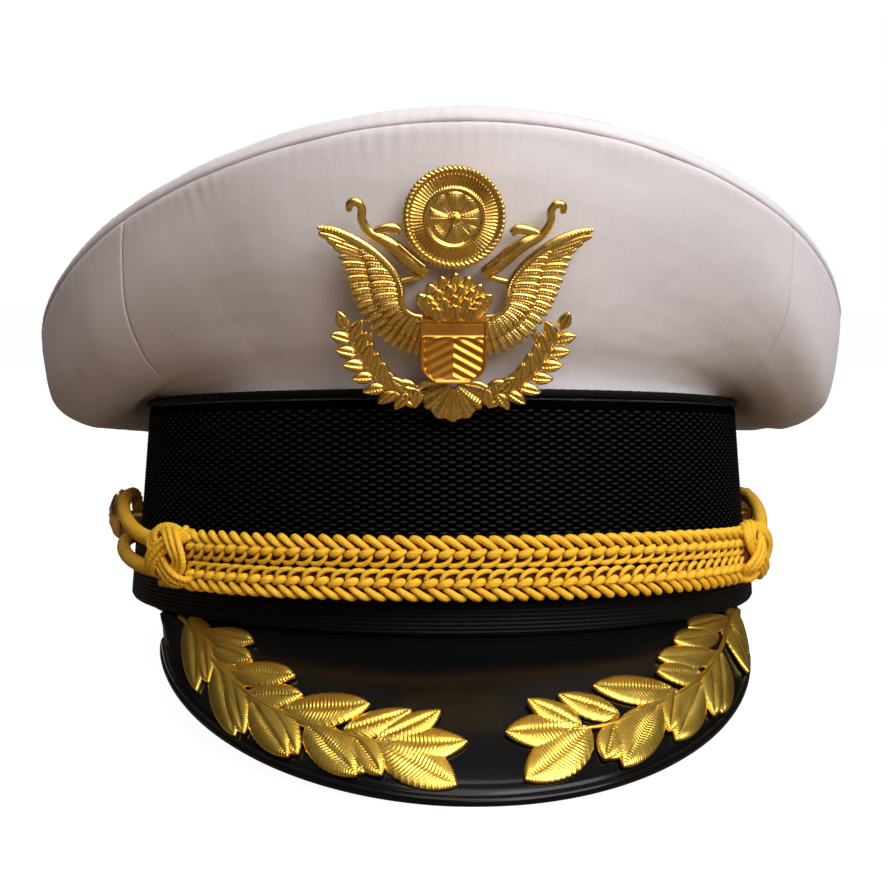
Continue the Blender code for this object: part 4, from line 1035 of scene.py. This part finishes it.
def row_height(deg, base, which):
    """The rows lie together at the knots and in the middle, with a slack gap where the lower one sags."""
    s = (deg + 44.5) / 94.5
    sag = np.exp(-(((s - 0.30) / 0.20) ** 2)) * 0.25 + np.exp(-(((s - 0.72) / 0.15) ** 2)) * 0.25
    return base + (0.10 if which > 0 else -0.10) - which * 0.15 * np.exp(-(((s - 0.98) / 0.09) ** 2)) + which * 0.10 * sag


for name, base, which, node, seed in (("chin_cord_upper_plait", CORD_Z_UP, 1, "cord_upper_row", 3), ("chin_cord_lower_plait", CORD_Z_LOW, -1, "cord_lower_row", 9)):
    piece = Piece()
    deg = cord_arc(-45.0, 51.0, base, 3.72)
    z = row_height(deg, base, which)
    p, ahead, out = cord_frame(deg, z)
    up = np.broadcast_to(np.array([0, 0, 1.0]), p.shape)
    # the cord doubles back on itself, so the lower row's lobes run the other way
    plait(piece, p + out * 0.1, ahead * which, out, up, 1.0, which, seed)
    fine = np.linspace(-45.0, 51.0, 140)
    pc, _, oc = cord_frame(fine, row_height(fine, base, which))
    # core in the darker yarn copy: painted shade in the holes between the lobes
    core(piece, pc - oc * 0.75, oc, 2.7, 0.75)
    piece.build(name, [YARN, YARN_PAINTED_SHADE], "chin_cord", "gold_cord", [node])


def knot_mesh(side):
    """Turk's head of three leads and four bights, each lead doubled, over a core."""
    name = "left" if side > 0 else "right"
    deg0 = side * (KNOT_PHI[side] - 1.2)
    p0, ahead, out = (a[0] for a in cord_frame(np.array([deg0]), np.array([17.3]), CORD_A + 1.2))
    up = np.array([0, 0, 1.0])
    piece = Piece()
    w = np.linspace(0, 2 * PI, 960, endpoint=False)
    p_, q_ = 3, 4
    # the knot's axis runs along the cord; its section is a flattened oval
    for ply in (-1.0, 0.0, 1.0):
        turn = p_ * w
        axial = 6.9 * np.cos(q_ * w)
        weave = 0.80 * np.sin(2 * q_ * w) + 0.14 * np.sin(5 * w + 2 * ply)
        d_ax, d_turn = -6.9 * q_ * np.sin(q_ * w), p_ * 6.6
        size = np.hypot(d_ax, d_turn)
        # plies sit side by side, square to the lead's direction on the surface
        ax = axial + ply * 1.78 * (d_turn / size)
        ang = turn - ply * 1.78 * (d_ax / size) / 6.6
        bulge = 1 - 0.26 * (ax / 8.8) ** 2
        ry, rz = (3.5 + weave) * bulge, (7.2 + weave) * bulge
        c = p0 + ahead * ax[:, None] + out * (ry * np.cos(ang))[:, None] + up * (rz * np.sin(ang))[:, None]
        nrm = unit(out * (np.cos(ang) / 3.4)[:, None] + up * (np.sin(ang) / 7.2)[:, None])
        piece.tubes(c[None], (0.80 + 0.05 * np.sin(w * 150 + ply))[None], nrm[None], sides=10, closed=True)
    # core, in the darker yarn copy: painted shade between the leads
    a = np.linspace(-1, 1, 25)
    path = p0 + ahead * (a * 6.6)[:, None]
    piece.tubes(path[None], (6.1 * np.sqrt(np.clip(1 - a**4 * 0.8, 0.05, 1)))[None], np.broadcast_to(out, path.shape)[None], sides=20, flat=0.40, mat=1)
    piece.build("chin_cord_knot_" + name, [YARN, YARN_PAINTED_SHADE], "chin_cord", "gold_cord", ["cord_knot_" + name])


def loop_mesh(side):
    """The cord's doubled end beyond the knot: up, round the button's shank and back."""
    name = "left" if side > 0 else "right"
    start, turn = KNOT_PHI[side] + 5.0, 90 + math.degrees(math.asin(BUTTON_Y / 105)) - 1.5
    spread = 6.6
    pts = []
    for i in range(31):
        s = i / 30
        pts.append((start + (turn - start) * s, CORD_Z_UP + (BUTTON_Z + spread - CORD_Z_UP) * float(smooth(s))))
    for i in range(1, 20):
        a = PI / 2 - PI * i / 20
        pts.append((turn + math.degrees(spread * math.cos(a) / 105), BUTTON_Z + spread * math.sin(a)))
    for i in range(31):
        s = 1 - i / 30
        pts.append((start + (turn - start) * s, CORD_Z_LOW + (BUTTON_Z - spread - CORD_Z_LOW) * float(smooth(s))))
    pts = np.array(pts)
    c = oval(rad(pts[:, 0]), CORD_A - 0.5, 14.0)
    c[:, 2] = pts[:, 1]
    c[:, 0] *= side
    run = np.concatenate([[0], np.cumsum(np.linalg.norm(np.diff(c, axis=0), axis=1))])
    count = int(run[-1] / 0.42)
    at = np.linspace(0.3, run[-1] - 0.3, count)
    pos = np.stack([np.interp(at, run, c[:, i]) for i in range(3)], -1)
    ahead = unit(np.gradient(pos, axis=0))
    rest = np.stack([np.interp(at, run, np.sin(rad(pts[:, 0])) * side), np.interp(at, run, -np.cos(rad(pts[:, 0])) * 0.87), 0 * at], -1)
    out = unit(rest - ahead * (rest * ahead).sum(-1, keepdims=True))
    up = np.cross(out, ahead) * side
    # a tight rope of three strands, a little flattened against the band
    piece = Piece()
    for strand in range(3):
        a = 2 * PI * at / 6.2 + strand * 2 * PI / 3
        path = pos + up * (1.22 * np.cos(a))[:, None] + out * (1.0 * np.sin(a))[:, None]
        piece.tubes(path[None], (0.95 + 0.04 * np.sin(at * 5.5 + strand))[None], unit(up * np.cos(a)[:, None] + out * np.sin(a)[:, None])[None], sides=10)
    # core in the darker yarn copy: painted shade between the strands
    core(piece, pos, out, 0.5, 0.5)
    piece.build("chin_cord_loop_" + name, [YARN, YARN_PAINTED_SHADE], "chin_cord", "gold_cord", ["cord_loop_" + name])


for side in (1, -1):
    knot_mesh(side)
    loop_mesh(side)


# ---------------------------------------------------------------- side buttons
def turned(piece, put, profile_out, profile_in, count=96, ripple=None, mat=0):
    a = np.linspace(0, 2 * PI, count, endpoint=False)[:, None]
    grids = []
    for k, prof in enumerate((profile_out, profile_in)):
        r, h = np.array(prof).T
        rr, hh = r[None] + 0 * a, h[None] + 0 * a
        if ripple is not None and k == 0:
            hh = hh + ripple(a, rr)
        grids.append(put(rr * np.cos(a), rr * np.sin(a), hh))
    piece.shell(grids[0], grids[1], closed=True, cap=True, mat=mat)


def profile(points, count):
    pts = np.array(points, float)
    step = np.concatenate([[0], np.cumsum(np.linalg.norm(np.diff(pts, axis=0), axis=1))])
    at = np.linspace(0, step[-1], count)
    return np.stack([np.interp(at, step, pts[:, 0]), np.interp(at, step, pts[:, 1])], -1)


for side in (1, -1):
    name = "left" if side > 0 else "right"

    def put(x, y, h, side=side):
        x, y, h = np.broadcast_arrays(x, y, h)
        return np.stack([side * (98.6 + h), BUTTON_Y + x, BUTTON_Z + y], -1)

    k = np.linspace(0, 1, 30)
    dome_r = 7.4 * (1 - k * 0.999)
    dome_h = 0.9 + 3.7 * np.sqrt(np.clip(1 - (dome_r / 7.6) ** 2, 0, 1))
    out_prof = np.concatenate([[(7.3, 0.02), (7.75, 0.15), (7.9, 0.5), (7.85, 0.95), (7.6, 1.15)], np.stack([dome_r, dome_h], -1)])
    in_r = np.concatenate([[7.0, 7.2, 7.3, 7.25, 7.1], dome_r * 0.93])
    in_h = np.concatenate([[0.05, 0.3, 0.5, 0.7, 0.8], 0.2 + 3.5 * np.sqrt(np.clip(1 - (dome_r / 7.6) ** 2, 0, 1))])
    piece = Piece()

    def leafy(a, r):
        """A plain eight-petal flower and a ring of beads, in low relief."""
        petals = 0.22 * np.clip(np.cos(8 * a), 0, 1) ** 0.7 * np.exp(-(((r - 3.1) / 1.5) ** 2))
        heart = 0.25 * np.exp(-((r / 0.9) ** 2))
        beads = 0.14 * np.abs(np.cos(28 * a)) * np.exp(-(((r - 6.2) / 0.4) ** 2))
        return petals + heart + beads - 0.1 * np.exp(-(((r - 5.3) / 0.25) ** 2))

    turned(piece, put, out_prof, np.stack([in_r, in_h], -1), 224, leafy)
    # rope edge
    a = np.linspace(0, 2 * PI, 44, endpoint=False)
    k = np.linspace(-1, 1, 7)
    ang = a[:, None] + k[None] * 0.095
    rr = 7.55 + k[None] * 0.28 + 0 * ang
    c = put(rr * np.cos(ang), rr * np.sin(ang), 0.95 + 0 * ang)
    piece.tubes(c, (0.42 * np.sqrt(np.clip(1 - k**4 * 0.8, 0.05, 1)))[None], np.array([float(side), 0, 0]), sides=8)
    piece.build("side_button_shell_" + name, BUTTON, "button_" + name, "gilt_metal", ["button_shell_" + name])

# ---------------------------------------------------------------- badge
wings = Piece()


def flat_tube(piece, pts, radii, z, count=60, sides=10, flat=0.8, mat=0, closed=False):
    """Rounded bar along a smooth path on the badge: pts are (x, y)."""
    pts = np.array(pts, float)
    k = np.linspace(0, 1, count)
    x, y = catmull([np.array(q) for q in pts[:, 0]], k), catmull([np.array(q) for q in pts[:, 1]], k)
    r = catmull([np.array(q) for q in radii], k) if np.ndim(radii) else radii + 0 * k
    zz = catmull([np.array(q) for q in z], k) if np.ndim(z) else z + 0 * k
    r = np.maximum(r, 0.08)
    face = unit(on_badge(0, 0, 1) - on_badge(0, 0, 0))
    piece.tubes(on_badge(x, y, zz)[None], r[None], np.broadcast_to(face, (count, 3))[None], sides=sides, flat=flat, mat=mat, closed=closed)


def feather(x0, y0, x1, y1, half, z, mirror, ribs=0.7, depth=0.75, rows=44, blunt=0.75, mat=0, groove=0.45, rib_depth=0.07, lift1=0.0, shape=(0.5, 0.5), bend=0.0):
    length = math.hypot(x1 - x0, y1 - y0)
    put = plane_put(on_badge, (x0, y0), math.degrees(math.atan2(y1 - y0, x1 - x0)), mirror)
    blade(wings, put, length, half, rows=rows, cols=13, depth=depth, ribs=ribs, rib_depth=rib_depth, rib_slant=1.2, groove=groove, base=z, lift1=lift1, shape=shape, blunt=blunt, edge=0.25, bend=bend, mat=mat)


for mirror in (1, -1):
    # two ordered columns of short blunt feathers, each column between two smooth lines
    outer = [(27.4, 24.4), (26.0, 21.4), (24.9, 18.0), (23.8, 14.5), (22.7, 11.4), (21.2, 8.2), (18.8, 4.4), (15.6, 1.6), (12.0, -0.3), (8.2, -1.5)]
    middle = [(21.6, 22.6), (20.2, 20.2), (19.5, 17.4), (18.9, 14.5), (18.3, 11.8), (17.3, 9.2), (15.2, 6.4), (12.6, 4.3), (10.0, 2.8), (7.4, 1.8)]
    inner = [(17.6, 21.6), (15.4, 19.0), (14.2, 16.6), (13.6, 14.2), (13.2, 12.0), (12.8, 10.2), (11.6, 8.6), (10.0, 7.2), (8.4, 6.2), (6.8, 5.4)]
    line = lambda pts, k: (float(catmull([np.array(q[0]) for q in pts], np.array(k))), float(catmull([np.array(q[1]) for q in pts], np.array(k))))
    for count, lo, hi, zz, over, droop in ((19, middle, outer, 0.75, 0.22, 1.0), (17, inner, middle, 1.35, 0.10, 1.0)):
        for i in range(count):
            k = 0.01 + 0.98 * i / (count - 1)
            a, b = line(lo, k), line(hi, k)
            dx, dy = b[0] - a[0], b[1] - a[1]
            feather(a[0] - dx * over, a[1] - dy * over + 0.5 * droop, b[0] + dx * 0.10, b[1] + dy * 0.10, 0.96, zz + 0.16 * (i % 2), mirror, lift1=0.25, rows=46, blunt=0.9, shape=(0.6, 0.4), ribs=0.6, rib_depth=0.07, depth=0.75, groove=0.30, bend=-0.2)
    # long feathers along the arm form the wing's point
    for x0, y0, x1, y1, zz in ((18.6, 22.0, 30.9, 26.6, 1.0), (18.0, 21.2, 29.0, 24.9, 0.9), (17.6, 20.4, 27.6, 23.4, 0.8)):
        feather(x0, y0, x1, y1, 1.1, zz, mirror, lift1=0.3, rows=70, blunt=0.7, shape=(0.8, 0.5), ribs=0.6, rib_depth=0.06, depth=0.8, groove=0.35)
    # the arm: a beaded leading edge from the body to the wing's point
    arm = [(7.4, 7.6), (9.4, 7.9), (11.4, 9.3), (12.2, 11.4), (12.2, 13.6), (13.2, 16.6), (15.8, 19.9), (19.4, 23.0), (23.4, 25.4), (27.4, 27.1), (31.0, 27.8)]
    flat_tube(wings, [(mirror * x, y) for x, y in arm], [0.55, 0.62, 0.66, 0.70, 0.78, 0.90, 1.0, 1.1, 1.15, 1.0, 0.5], [2.0, 2.2, 2.3, 2.3, 2.2, 2.1, 2.0, 1.9, 1.8, 1.6, 1.3], 110, flat=0.7)
    k = np.linspace(0.36, 0.985, 34)
    bx = catmull([np.array(q[0]) for q in arm], k)
    by = catmull([np.array(q[1]) for q in arm], k)
    # beads sit on the arm
    for x, y, q in zip(bx, by, k):
        c = np.stack([on_badge(mirror * x, y, 2.75 - 0.75 * q + e) for e in np.linspace(-0.45, 0.42, 7)])
        rr = 0.50 * np.sqrt(np.clip(1 - (np.linspace(-1, 1, 7) * 0.96) ** 2, 0.02, 1))
        wings.tubes(c[None], rr[None], np.array([1.0, 0, 0]), sides=9)
    # ribbon: a plain band from under the medallion that ends in a scroll
    ribbon = [(6.6, 17.6), (9.2, 19.4), (12.2, 22.0), (15.2, 24.4), (18.2, 26.0), (20.0, 27.4), (21.2, 29.8), (21.2, 32.2), (22.3, 33.6), (23.8, 33.2), (24.0, 31.6)]
    flat_tube(wings, [(mirror * x, y) for x, y in ribbon], [1.5, 1.75, 1.8, 1.65, 1.4, 1.15, 1.0, 1.0, 1.0, 0.95, 0.7], [0.9, 1.5, 1.3, 1.7, 1.5, 1.6, 1.9, 2.1, 2.2, 2.1, 1.8], 90, sides=12, flat=0.75)
    flat_tube(wings, [(mirror * x, y) for x, y in [(12.4, 26.9), (14.0, 27.9), (16.6, 27.6), (19.2, 26.6)]], [0.9, 1.15, 1.1, 0.7], 1.7, 36, flat=0.8)
    flat_tube(wings, [(mirror * x, y) for x, y in [(7.0, 19.4), (9.8, 21.6), (13.0, 24.4)]], 0.34, 2.9, 30, flat=0.9)
    # laurel sprig: stem, leaves in pairs
    stem = [(3.0, -8.0), (6.4, -8.6), (10.4, -10.6), (15.0, -9.6), (19.4, -5.6), (22.6, -0.6), (24.8, 4.6)]
    flat_tube(wings, [(mirror * x, y) for x, y in stem], [0.9, 0.8, 0.72, 0.62, 0.55, 0.5, 0.4], 1.5, 70)
    flat_tube(wings, [(mirror * x, y) for x, y in [(13.6, -10.4), (12.0, -12.0), (10.4, -13.2), (8.6, -13.9)]], [0.7, 0.85, 0.85, 0.6], 1.7, 30)
    n_leaf = 9
    for i in range(n_leaf):
        k = 0.24 + 0.76 * i / (n_leaf - 1)
        x = float(catmull([np.array(q[0]) for q in stem], np.array(k)))
        y = float(catmull([np.array(q[1]) for q in stem], np.array(k)))
        x2 = float(catmull([np.array(q[0]) for q in stem], np.array(min(k + 0.02, 1.0) if k < 0.98 else k - 0.02)))
        y2 = float(catmull([np.array(q[1]) for q in stem], np.array(min(k + 0.02, 1.0) if k < 0.98 else k - 0.02)))
        ahead = math.degrees(math.atan2(y2 - y, x2 - x)) if k < 0.98 else math.degrees(math.atan2(y - y2, x - x2))
        for sgn, size in ((1, 6.2), (-1, 5.4)) if i < n_leaf - 1 else ((0, 5.2),):
            ang = math.radians(ahead + sgn * 50)
            size = size * (1.0 - 0.25 * abs(k - 0.6))
            feather(x, y, x + size * math.cos(ang), y + size * math.sin(ang), 1.6, 1.2 + 0.15 * (i % 2), mirror, ribs=0.75, depth=1.05, rows=30, blunt=0.0, groove=0.5, lift1=0.5 * (1 if sgn > 0 else 0.4), shape=(0.6, 0.8))
    # plume: overlapping blades that rise from the shield, in place of any figure
for row, (count, length, spread, zz, half) in enumerate(((7, 11.4, 52, 1.0, 1.9), (6, 8.9, 40, 1.8, 1.75), (5, 6.4, 34, 2.5, 1.6), (3, 4.3, 22, 3.1, 1.45))):
    for i in range(count):
        k = (i / (count - 1) - 0.5) * 2
        a = math.radians(90 - k * spread)
        x0 = k * 3.4
        size = length * (1 - 0.10 * abs(k))
        feather(x0, 6.6, x0 + size * math.cos(a) * 0.62, 6.6 + size * math.sin(a), half, zz, 1, ribs=0.7, depth=0.9, rows=34, blunt=0.35, groove=0.5, lift1=0.35, shape=(0.55, 0.6))
# scallop fan under the shield
a = np.linspace(-162, -18, 131)[:, None]
rr = np.linspace(0.15, 1, 34)[None]
ribs = np.cos((a + 90) / 144 * 2 * PI * 6.0)
reach = 9.6 * (1 + 0.03 * ribs) * (1 - 0.10 * ((a + 90) / 72) ** 2)
x, y = rr * reach * np.cos(rad(a)) * 0.98 + 0.3, -8.0 + rr * reach * np.sin(rad(a)) * 1.04
h = 1.0 + 1.5 * np.sqrt(np.clip(1 - rr**2.2 * 0.75, 0, 1)) + 0.34 * ribs * smooth(rr * 2) + 0.06 * np.cos(2 * PI * rr * reach / 0.8)
edge_f = smooth(np.minimum(a + 162, -18 - a) / 5) * smooth((1 - rr) / 0.06)
h = 0.55 + (h - 0.55) * edge_f
wings.shell(on_badge(x, y, h), on_badge(x, y, 0.3 + 0 * h))
# ties that join the parts, low and behind
for pts in (
    [(-22.4, -1.0), (-20.6, 0.6), (-18.6, 3.4)], [(22.4, -1.0), (20.6, 0.6), (18.6, 3.4)],
    [(-6.6, 17.4), (-9.0, 16.4), (-12.0, 15.6)], [(6.6, 17.4), (9.0, 16.4), (12.0, 15.6)],
):
    flat_tube(wings, pts, 0.75, 0.8, 24)
wings.build("badge_winged_relief", GILT, "cap", "gilt_metal", ["badge_wings"], sharp=70)

# shield: a plain chief over chevron flutes
piece = Piece()
u = np.linspace(-1, 1, 121)[:, None]
y = np.linspace(7.4, -8.0, 151)[None]
half = np.where(y > -3.0, 7.8, 7.8 * np.sqrt(np.clip(1 - ((y + 3.0) / 5.2) ** 2, 0.0, 1)))
half = np.maximum(half, 0.4)
x = u * half
inset = np.minimum((1 - np.abs(u)) * half, np.minimum(7.4 - y, (y + 8.0) * 0.9))
rim_h = 0.55 * smooth(1 - (inset - 0.55) / 0.5)
flute = 0.24 * np.cos(2 * PI * (np.abs(x) * 0.55 + (y - 3.0)) / 2.3)
chief = smooth((y - 3.0) / 0.35)
bar = 0.30 * np.exp(-(((y - 3.1) / 0.35) ** 2))
body = 0.45 * np.sqrt(np.clip(1 - (x / 9.5) ** 2, 0, 1))
h = 2.9 + body + (flute * (1 - chief) + 0.10 * chief) * smooth((inset - 0.8) / 0.5) + bar * smooth(inset / 0.8) + rim_h
h = 2.2 + (h - 2.2) * smooth(inset / 0.22 + 0.15)
piece.shell(on_badge(x, y, h), on_badge(x, y, 1.7 + 0 * h))
piece.build("badge_shield_relief", GILT_MATT, "cap", "gilt_metal", ["badge_shield"], sharp=60)

# medallion: rope rim, radial flutes and a plain eight-petal rosette
MED = (-0.6, 30.4)
piece = Piece()
a = np.linspace(0, 2 * PI, 576, endpoint=False)[:, None]
r = np.concatenate([np.linspace(11.2, 10.3, 6), np.linspace(10.2, 0.12, 66)])[None]
plate_h = 2.5 - 0.10 * (r / 11) ** 2
flutes = 0.16 * np.cos(72 * a) * smooth((r - 6.9) / 0.35) * smooth((9.9 - r) / 0.3)
ring_h = 0.38 * np.exp(-(((r - 6.55) / 0.33) ** 2))
dish = -0.35 * smooth((6.3 - r) / 0.5)
petal = 0.62 * np.clip(np.cos(4 * a), 0, 1) ** 0.45 * np.sqrt(np.clip(1 - ((r - 3.4) / 2.5) ** 2, 0, 1))
vein = -0.14 * np.exp(-((np.sin(4 * a) * r / 0.30) ** 2)) * smooth((5.4 - r) / 0.5) * smooth((r - 1.2) / 0.4)
petal2 = 0.36 * np.clip(-np.cos(4 * a), 0, 1) ** 0.6 * np.exp(-(((r - 4.9) / 0.9) ** 2))
heart = 0.75 * np.sqrt(np.clip(1 - (r / 1.25) ** 2, 0, 1)) + 0.10 * np.cos(14 * a) * np.exp(-(((r - 1.25) / 0.3) ** 2))
stipple = 0.035 * np.cos(r * 9.0 + 3 * np.cos(a * 40)) * np.cos(a * 40) * smooth((6.0 - r) / 0.4)
h = plate_h + flutes + ring_h + dish + petal + vein + petal2 + heart + stipple
x, y = MED[0] + r * np.cos(a), MED[1] + r * np.sin(a)
piece.shell(on_badge(x, y, h), on_badge(x, y, 1.0 + 0 * h), closed=True, cap=True)
a = np.linspace(0, 2 * PI, 64, endpoint=False)
k = np.linspace(-1, 1, 9)
ang = a[:, None] + k[None] * 0.066
rr = 10.85 + k[None] * 0.55 + 0 * ang
c = on_badge(MED[0] + rr * np.cos(ang), MED[1] + rr * np.sin(ang), 2.35 + 0 * ang)
face = unit(on_badge(0, 0, 1) - on_badge(0, 0, 0))
piece.tubes(c, (0.62 * np.sqrt(np.clip(1 - k**4 * 0.85, 0.05, 1)))[None], np.broadcast_to(face, c.shape), sides=10)
piece.build("badge_medallion_relief", GILT, "cap", "gilt_metal", ["badge_medallion"], sharp=70)

# ---------------------------------------------------------------- CAD nodes that stay, with their finishes
for node, m in {
    "rim_hoop": STEEL, "rim_hoop_sleeve": STEEL, "front_stay": STEEL,
    "button_back_left": BRASS, "button_back_right": BRASS, "button_keeper_left": STEEL, "button_keeper_right": STEEL,
    "badge_screw_post": BRASS, "badge_washer": STEEL, "badge_thumb_nut": BRASS,
}.items():
    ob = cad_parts[node]
    ob.data.materials.clear()
    ob.data.materials.append(m)

# ---------------------------------------------------------------- stage, light and camera
scene = bpy.context.scene
front_pt, back_pt = np.array([0, -146.0, -30.2]), np.array([0, 104.5, -0.6])
slope = math.atan2(back_pt[2] - front_pt[2], back_pt[1] - front_pt[1])
me = bpy.data.meshes.new("floor")
size = 6.0
me.from_pydata([(-size, -size, 0), (size, -size, 0), (size, size, 0), (-size, size, 0)], [], [(0, 1, 2, 3)])
floor = bpy.data.objects.new("floor", me)
scene.collection.objects.link(floor)
floor.matrix_world = Matrix.Translation(Vector(front_pt) * MM) @ Matrix.Rotation(slope, 4, "X")
m, nt, b = shader("pale_floor", (0.12, 0.12, 0.12), 0.9, Specular_IOR_Level=0.1)
out_node = next(n for n in nt.nodes if n.type == "OUTPUT_MATERIAL")
geo = nd(nt, "NewGeometry")
clear = nd(nt, "BsdfTransparent")
mixed = nd(nt, "MixShader", {0: geo.outputs["Backfacing"], 1: b.outputs[0], 2: clear.outputs[0]})
nt.links.new(mixed.outputs[0], out_node.inputs["Surface"])
b.inputs["Emission Color"].default_value = (1, 1, 1, 1)
b.inputs["Emission Strength"].default_value = 0.965
dull = nd(nt, "BsdfDiffuse", {"Color": (0.20, 0.155, 0.12, 1)})
seen = nd(nt, "MixShader", {0: nd(nt, "LightPath").outputs["Is Camera Ray"], 1: dull.outputs[0], 2: b.outputs[0]})
nt.links.new(seen.outputs[0], mixed.inputs[1])
me.materials.append(m)

world = bpy.data.worlds.new("studio")
scene.world = world
world.use_nodes = True
nt = world.node_tree
back = nt.nodes["Background"]
z = nd(nt, "SeparateXYZ", {"Vector": nd(nt, "TexCoord").outputs["Generated"]}).outputs["Z"]
nt.links.new(ramp(nt, fmath(nt, "MAXIMUM", z, 0.0), [(0.0, (0.024, 0.018, 0.013)), (0.45, (0.032, 0.026, 0.022)), (1.0, (0.22, 0.215, 0.22))]), back.inputs["Color"])
back.inputs["Strength"].default_value = 1.0
lit = nd(nt, "Background", {"Color": (1, 1, 1, 1), "Strength": 1.0})
path = nd(nt, "LightPath")
mixed = nd(nt, "MixShader", {0: path.outputs["Is Camera Ray"], 1: back.outputs[0], 2: lit.outputs[0]})
nt.links.new(mixed.outputs[0], nt.nodes["World Output"].inputs["Surface"])


def area(name, place_mm, target_mm, size_m, watts, colour=(1, 1, 1), shape="RECTANGLE", size_y=None):
    d = bpy.data.lights.new(name, "AREA")
    d.shape = shape
    d.size = size_m
    d.size_y = size_y or size_m
    d.energy = watts
    d.color = colour
    o = bpy.data.objects.new(name, d)
    scene.collection.objects.link(o)
    o.location = Vector(place_mm) * MM
    o.rotation_mode = "QUATERNION"
    o.rotation_quaternion = (Vector(target_mm) - Vector(place_mm)).to_track_quat("-Z", "Y")
    return o


area("key", (560, -900, 640), (0, -40, 40), 0.75, 10.6, (0.905, 0.965, 1.0))
area("top", (20, -820, 1040), (0, 0, 70), 0.8, 7.0, (1.0, 0.985, 0.985))
area("fill", (-900, -560, 300), (0, 0, 40), 0.7, 0.06, (1.0, 0.80, 0.62))
area("front", (260, -1280, 420), (0, -60, 50), 0.6, 3.6, (1.0, 0.74, 0.64))
area("back", (-260, 900, 820), (0, 0, 60), 0.8, 6.0, (1.0, 0.985, 0.975))

cam = bpy.data.cameras.new("camera")
cam_ob = bpy.data.objects.new("camera", cam)
scene.collection.objects.link(cam_ob)
psi = math.radians(3.6)
right, ahead, up = Vector((math.cos(psi), -math.sin(psi), 0)), Vector((math.sin(psi), math.cos(psi), 0)), Vector((0, 0, 1))
m = Matrix.Identity(4)
for i in range(3):
    m[i][0], m[i][1], m[i][2] = right[i], up[i], -ahead[i]
m.translation = Vector((-math.sin(psi) * 437, -math.cos(psi) * 437, 44.3)) * MM
cam_ob.matrix_world = m
cam.sensor_width = 36.0
cam.lens = 36.0 * 1407 / 888
cam.shift_x, cam.shift_y = 3 / 888, 6 / 888
cam.clip_start, cam.clip_end = 0.01, 50
scene.camera = cam_ob
scene.view_settings.view_transform = "Standard"
scene.view_settings.look = "None"

bpy.context.view_layer.update()
